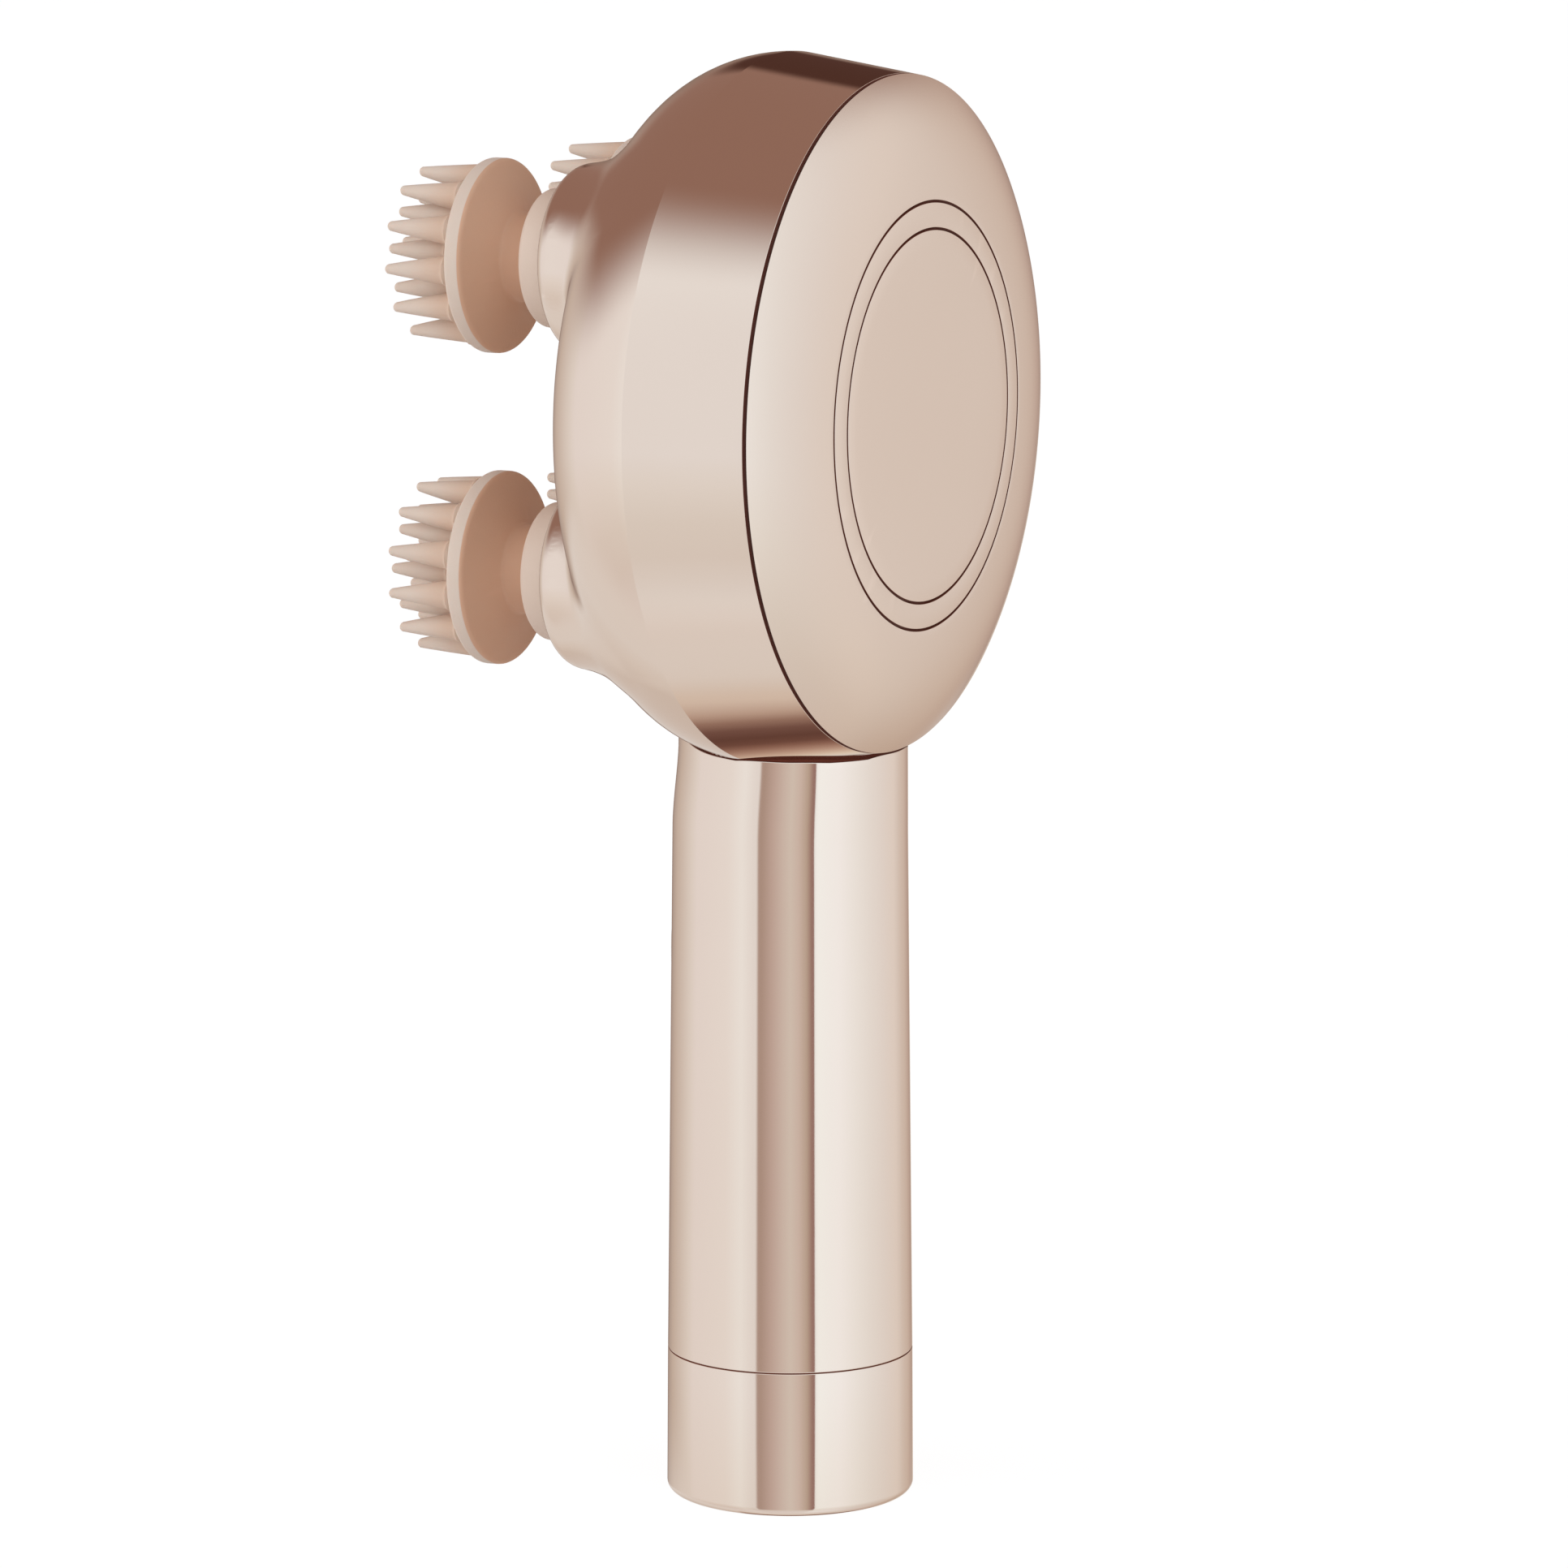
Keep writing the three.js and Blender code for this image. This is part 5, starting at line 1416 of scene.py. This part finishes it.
# %% The four heads, turned a little against each other as they stop
PAD_TURNS = (8, 10, 0, 0)
SHADED_BACK_STARTS = PAD_FRONT + 2.1
for number, (centre_x, centre_z) in enumerate(LOBE_CENTRES, start=1):
    centre = (centre_x, centre_z + HEAD_Z)
    dish = turned_piece(f"massage_head_{number}", dish_outline(), "Y", centre, 96, [silicone, shaded_silicone_back])
    # The back and the stub of each dish take the deeper silicone, which is painted shade
    for polygon in dish.data.polygons:
        if polygon.center.y / MM > SHADED_BACK_STARTS:
            polygon.material_index = 1
    spikes = planted_spikes(PAD_TURNS[number - 1])
    forward = Matrix(((1, 0, 0), (0, 0, -1), (0, 1, 0))).to_4x4()
    place = Matrix.Translation(Vector((centre[0], PAD_FRONT, centre[1])) * MM)
    spikes.transform(place @ forward)
    both = bmesh.new()
    both.from_mesh(dish.data)
    both.from_mesh(spikes)
    both.to_mesh(dish.data)
    both.free()
    soften(dish, sharp_above=50)
    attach(dish, f"pad_{number}")
    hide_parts(f"massage_pad_{number}")
print("faces in one massage head", len(dish.data.polygons))

# %% [markdown]
# ## The collars
# A matte collar turns in front of each lobe and holds the stub of the silicone head. It is a turned
# piece with a soft front edge; the hair-fine gap to the lobe stays open as a real gap.

# %% Collars
COLLAR_RADIUS = 9.95
COLLAR_LENGTH = 4.1
COLLAR_SOCKET = 2.6
COLLAR_REAR = LOBE_END - 0.3
COLLAR_FRONT = COLLAR_REAR - COLLAR_LENGTH
SOCKET_RADIUS = STUB_RADIUS + 0.3
HUB_RADIUS = 3.6
HUB_LENGTH = 3.9
SHAFT_HOLE = 2.15
SHAFT_HOLE_END = COLLAR_REAR - 0.4
collar_corners = [
    (0, COLLAR_FRONT + COLLAR_SOCKET, 0),
    (SOCKET_RADIUS, COLLAR_FRONT + COLLAR_SOCKET, 0),
    (SOCKET_RADIUS, COLLAR_FRONT, 0.25),
    (COLLAR_RADIUS, COLLAR_FRONT, 0.9),
    (COLLAR_RADIUS, COLLAR_REAR, 0.15),
    (HUB_RADIUS, COLLAR_REAR, 0),
    (HUB_RADIUS, COLLAR_REAR + HUB_LENGTH, 0),
    (SHAFT_HOLE, COLLAR_REAR + HUB_LENGTH, 0),
    (SHAFT_HOLE, SHAFT_HOLE_END, 0),
    (0, SHAFT_HOLE_END, 0),
]
collar_outline = rounded(collar_corners)
for number, (centre_x, centre_z) in enumerate(LOBE_CENTRES, start=1):
    centre = (centre_x, centre_z + HEAD_Z)
    collar = turned_piece(f"collar_{number}", collar_outline, "Y", centre, 96, [collar_finish])
    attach(collar, f"drive_{number}")
    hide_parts(f"drive_collar_{number}")
print("collar from y", round(COLLAR_REAR, 1), "to", round(COLLAR_FRONT, 1))

# %% [markdown]
# ## The parts inside
# Gears, shafts, motor, cell and boards stay as they were packed, and each gets the finish of its
# own material by the record's slot. They hardly show, but a part is also looked at taken apart.

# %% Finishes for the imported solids
finish_of_slot = {
    "plated_shell": plating,
    "plated_cover": satin_plating,
    "matte_collar": collar_finish,
    "silicone": silicone,
    "white_plastic": inside["white_gear_plastic"],
    "grey_plastic": inside["grey_plastic"],
    "seal_rubber": inside["black_seal_rubber"],
    "steel": inside["turned_steel"],
    "gearbox_alloy": inside["cast_alloy"],
    "bronze": inside["sintered_bronze"],
    "board_green": inside["green_circuit_board"],
    "battery_cell": inside["blue_cell_wrap"],
    "light_pipe": clear_light,
    "red_wire": inside["red_insulation"],
    "black_wire": inside["black_insulation"],
}
for row in frame["record"]["subparts"]:
    node = frame["nodes"][row["node"]]
    finish = finish_of_slot[row["material_slot"]]
    if not node.data.materials:
        node.data.materials.append(finish)
    for material_slot in node.material_slots:
        material_slot.material = finish
for material_slot in frame["nodes"]["neck_seal"].material_slots:
    material_slot.material = inside["brown_neck_seal"]

# %% [markdown]
# ## Studio
# The floor is pale and runs to a white background. The plating only looks like plating when it has
# something to mirror. Lamps and panels could stand round the object, but each would also light it
# and cast shadows, so the world is a painted round studio instead, laid out by direction. It has
# pale walls, a warm dark ceiling that comes down behind, a darker stand there, a dark strip low
# behind for the drum's underside, and a tall card on the camera's side for the handle's dark band.

# %% Floor
FLOOR_HALF = 6000
FLOOR_Z = -0.05
FLOOR_GLOW = 1.09
FLOOR_SHARE = 0.85
floor_material = bpy.data.materials.new("studio_floor")
floor_material.use_nodes = True
floor_tree = floor_material.node_tree
floor_tree.nodes.clear()
floor_path = add_node(floor_tree, "ShaderNodeLightPath")
floor_diffuse = add_node(floor_tree, "ShaderNodeBsdfDiffuse", {"Color": (0.9, 0.9, 0.9, 1)})
floor_glow = add_node(floor_tree, "ShaderNodeEmission", {"Color": (1, 1, 1, 1), "Strength": FLOOR_GLOW})
floor_share = add_node(
    floor_tree,
    "ShaderNodeMath",
    {0: floor_path.outputs["Is Camera Ray"], 1: FLOOR_SHARE},
    operation="MULTIPLY",
)
floor_mix = add_node(
    floor_tree,
    "ShaderNodeMixShader",
    {0: floor_share.outputs["Value"], 1: floor_diffuse.outputs[0], 2: floor_glow.outputs[0]},
)
add_node(floor_tree, "ShaderNodeOutputMaterial", {"Surface": floor_mix.outputs[0]})
floor_corners = [(x * FLOOR_HALF, y * FLOOR_HALF, FLOOR_Z) for x, y in ((-1, -1), (1, -1), (1, 1), (-1, 1))]
floor = add_piece("floor", floor_corners, [(0, 1, 2, 3)], [floor_material])
floor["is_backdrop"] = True
print("floor in metres", 2 * FLOOR_HALF * MM)

# %% World helpers: each value is a socket, worked out for the direction that a ray looks in
world = bpy.data.worlds.new("studio")
bpy.context.scene.world = world
world.use_nodes = True
sky = world.node_tree
sky.nodes.clear()
direction = add_node(sky, "ShaderNodeTexCoord").outputs["Generated"]


def along(axis):
    dot = add_node(sky, "ShaderNodeVectorMath", {0: direction, 1: tuple(axis)}, operation="DOT_PRODUCT")
    return dot.outputs["Value"]


def math_node(operation, first, second=0.0, third=0.0):
    made = add_node(sky, "ShaderNodeMath", {0: first, 1: second, 2: third}, operation=operation)
    return made.outputs["Value"]


def product(*shares):
    result = shares[0]
    for share in shares[1:]:
        result = math_node("MULTIPLY", result, share)
    return result


def smooth_step(value, start, end):
    made = add_node(
        sky,
        "ShaderNodeMapRange",
        {"Value": value, "From Min": start, "From Max": end},
        interpolation_type="SMOOTHSTEP",
    )
    return made.outputs["Result"]


def mix_colour(share, first, second, **settings):
    made = add_node(
        sky, "ShaderNodeMix", {"Factor": share, "A": first, "B": second}, data_type="RGBA", **settings
    )
    return made.outputs["Result"]


DEGREES = 180 / math.pi
sideways = along(view_right)
turn_degrees = math_node("MULTIPLY", math_node("ARCTAN2", sideways, along(view_level)), DEGREES)
tilt_degrees = math_node("MULTIPLY", math_node("ARCSINE", along((0, 0, 1))), DEGREES)
print("nodes that give turn and tilt", len(sky.nodes))

# %% Colours by an angle, and directions from their turn and tilt
def ramp(value, low, high, stops):
    """A colour that runs through stops of (value, colour), from low to high."""
    position = math_node("MULTIPLY_ADD", value, 1 / (high - low), -low / (high - low))
    made = add_node(sky, "ShaderNodeValToRGB", {"Fac": position})
    elements = made.color_ramp.elements
    elements.remove(elements[-1])
    for i, (stop, colour) in enumerate(stops):
        place_at = (stop - low) / (high - low)
        element = elements[0] if i == 0 else elements.new(place_at)
        element.position = place_at
        element.color = (*colour, 1)
    return made.outputs["Color"]


def toward(turn, tilt):
    """Unit direction from a turn to the right of the camera's direction and a tilt above level."""
    flat = view_level * math.cos(math.radians(turn)) + view_right * math.sin(math.radians(turn))
    return flat * math.cos(math.radians(tilt)) + Vector((0, 0, math.sin(math.radians(tilt))))


print("camera looks from", tuple(round(c, 2) for c in toward(0, math.degrees(CAMERA_TILT))))

# %% Walls: their colour by turn, in degrees to the right of the camera's direction
# The plating is tinted, so the bright panels are a little blue and brighter than paper white. A
# ramp holds no more than 1, so it holds each colour divided by the highest value.
HIGHEST = 1.4
WALL_PANELS = (
    (-180, (0.25, 0.165, 0.13)),
    (-171, (0.32, 0.225, 0.18)),
    (-160, (0.50, 0.41, 0.36)),
    (-145, (0.66, 0.58, 0.52)),
    (-129, (0.77, 0.73, 0.70)),
    (-113, (0.89, 0.90, 0.90)),
    (-104, (0.95, 0.97, 1.01)),
    (-64, (0.98, 1.02, 1.06)),
    (-48, (1.03, 1.12, 1.18)),
    (-36, (0.95, 1.00, 1.05)),
    (20, (1.00, 1.08, 1.15)),
    (26, (1.12, 1.28, 1.38)),
    (48, (1.11, 1.23, 1.34)),
    (65, (1.04, 1.14, 1.21)),
    (81, (0.98, 1.05, 1.10)),
    (101, (0.93, 0.96, 0.99)),
    (121, (0.90, 0.885, 0.875)),
    (128, (0.83, 0.80, 0.78)),
    (134, (0.78, 0.72, 0.68)),
    (145, (0.71, 0.62, 0.56)),
    (155, (0.60, 0.48, 0.42)),
    (165, (0.46, 0.34, 0.29)),
    (180, (0.25, 0.165, 0.13)),
)
scaled_panels = [(turn, tuple(value / HIGHEST for value in colour)) for turn, colour in WALL_PANELS]
around_object = ramp(turn_degrees, -180, 180, scaled_panels)
print("wall panels", len(WALL_PANELS))

# %% Lower down the studio is a little warmer and dimmer
LOWER_TINTS = (
    (-90, (0.80, 0.74, 0.70)),
    (-75, (0.86, 0.80, 0.75)),
    (-62, (0.90, 0.85, 0.82)),
    (-52, (0.87, 0.82, 0.79)),
    (-41, (0.85, 0.79, 0.74)),
    (-30, (0.885, 0.84, 0.79)),
    (-18, (0.96, 0.94, 0.91)),
    (-9, (1.0, 1.0, 1.0)),
)
lower_tint = ramp(tilt_degrees, -90, 90, LOWER_TINTS)
tinted = mix_colour(1.0, around_object, lower_tint, blend_type="MULTIPLY")
brightened = add_node(sky, "ShaderNodeVectorMath", {0: tinted, "Scale": HIGHEST}, operation="SCALE")
walls = brightened.outputs["Vector"]
print("tints", len(LOWER_TINTS))

# %% A broad dark ceiling that comes down behind on the left, and a stand that the drum's top mirrors
CEILING = toward(-165, 52)
STAND = toward(170, 22)
ceiling_share = product(smooth_step(along(CEILING), 0.27, 0.76), smooth_step(tilt_degrees, 2, 26))
with_ceiling = mix_colour(ceiling_share, walls, (0.34, 0.205, 0.165, 1))
with_stand = mix_colour(smooth_step(along(STAND), 0.9455, 0.972), with_ceiling, (0.09, 0.04, 0.03, 1))
print("stand behind the object at", tuple(round(c, 2) for c in STAND))

# %% Low behind on the left the studio stays pale: its colour by angle from the middle, in degrees
LOW_MIDDLE = toward(180, -44)
LOW_PALE = (
    (10, (0.72, 0.66, 0.62)),
    (26, (0.74, 0.69, 0.65)),
    (33, (0.81, 0.78, 0.75)),
    (42, (0.86, 0.86, 0.855)),
    (65, (0.88, 0.88, 0.88)),
)
from_low_middle = math_node("MULTIPLY", math_node("ARCCOSINE", along(LOW_MIDDLE)), DEGREES)
low_pale = ramp(from_low_middle, 0, 80, LOW_PALE)
low_share = product(
    smooth_step(along(LOW_MIDDLE), 0.30, 0.60),
    smooth_step(tilt_degrees, -13, -20),
    smooth_step(sideways, 0.5, 0.15),
)
with_low_pale = mix_colour(low_share, with_stand, low_pale)
print("pale area", len(LOW_PALE), "colours")

# %% A dark strip low behind, which only the drum's underside mirrors: its colour by tilt
STRIP_COLOURS = (
    (-75, (0.82, 0.76, 0.70)),
    (-70, (0.79, 0.71, 0.64)),
    (-64, (0.58, 0.45, 0.38)),
    (-60, (0.36, 0.23, 0.185)),
    (-55, (0.20, 0.105, 0.085)),
    (-49, (0.145, 0.068, 0.052)),
    (-44, (0.18, 0.085, 0.064)),
    (-40, (0.30, 0.16, 0.12)),
    (-35, (0.47, 0.30, 0.23)),
    (-30, (0.63, 0.46, 0.36)),
    (-24, (0.76, 0.64, 0.50)),
    (-12, (0.76, 0.66, 0.57)),
)
strip_colour = ramp(tilt_degrees, -76, -10, STRIP_COLOURS)
strip_share = product(
    smooth_step(along((0, 1, 0)), -0.43, -0.385),
    smooth_step(sideways, 0.25, 0.15),
    smooth_step(tilt_degrees, -78, -71),
    smooth_step(tilt_degrees, -5, -9),
    smooth_step(along(-view_level), 0, 0.3),
)
with_strip = mix_colour(strip_share, with_low_pale, strip_colour)
print("strip", len(STRIP_COLOURS), "colours")

# %% The upright card on the camera's side, low enough that only the handle mirrors it
CARD_COLOURS = (
    (-36, (0.52, 0.42, 0.39)),
    (-28, (0.50, 0.40, 0.357)),
    (-18, (0.63, 0.53, 0.50)),
    (-8, (0.73, 0.67, 0.645)),
    (0, (0.78, 0.76, 0.73)),
    (8, (0.74, 0.67, 0.64)),
    (15.6, (0.59, 0.51, 0.44)),
    (20.5, (0.38, 0.245, 0.226)),
    (24, (0.33, 0.20, 0.18)),
)
card_colour = ramp(turn_degrees, -180, 180, CARD_COLOURS)
card_share = product(
    smooth_step(turn_degrees, -33.5, -30.5),
    smooth_step(turn_degrees, 23.3, 22.8),
    smooth_step(tilt_degrees, -40, -30),
    smooth_step(tilt_degrees, 2, 0),
)
mirrored = mix_colour(card_share, with_strip, card_colour)
print("card", len(CARD_COLOURS), "colours")

# %% The camera sees plain white, and everything else sees the studio
camera_ray = add_node(sky, "ShaderNodeLightPath").outputs["Is Camera Ray"]
seen = mix_colour(camera_ray, mirrored, (1, 1, 1, 1))
background = add_node(sky, "ShaderNodeBackground", {"Color": seen, "Strength": 1.0})
add_node(sky, "ShaderNodeOutputWorld", {"Surface": background.outputs[0]})
print("nodes in the world", len(sky.nodes))

# %% Soft key light from the side of the massage heads, in metres
KEY_SIZE = 0.9
KEY_ENERGY = 3.8
KEY_HEIGHT = 0.51
KEY_FORWARD = 0.2
KEY_AIM = Vector((0, 0, 0.15))
key_data = bpy.data.lights.new("key", "AREA")
key_data.shape = "RECTANGLE"
key_data.size = KEY_SIZE
key_data.size_y = KEY_SIZE
key_data.energy = KEY_ENERGY
key_light = bpy.data.objects.new("key", key_data)
key_light.location = Vector((0, 0, KEY_HEIGHT)) - view_right + view_level * KEY_FORWARD
key_light.rotation_euler = (key_light.location - KEY_AIM).to_track_quat("Z", "Y").to_euler()
key_light.visible_glossy = False
bpy.context.scene.collection.objects.link(key_light)
bpy.context.scene.view_settings.view_transform = "Standard"
print("key light at", [round(c, 2) for c in key_light.location])

# %% Keep the plating's reflections clean: it mirrors the studio, and no piece of the object
meshes = [thing for thing in bpy.context.scene.objects if thing.type == "MESH"]
for mesh_object in meshes:
    mesh_object.visible_glossy = False
print("meshes that the plating doesn't mirror", len(meshes))

# %% Check the size and finish
low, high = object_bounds()
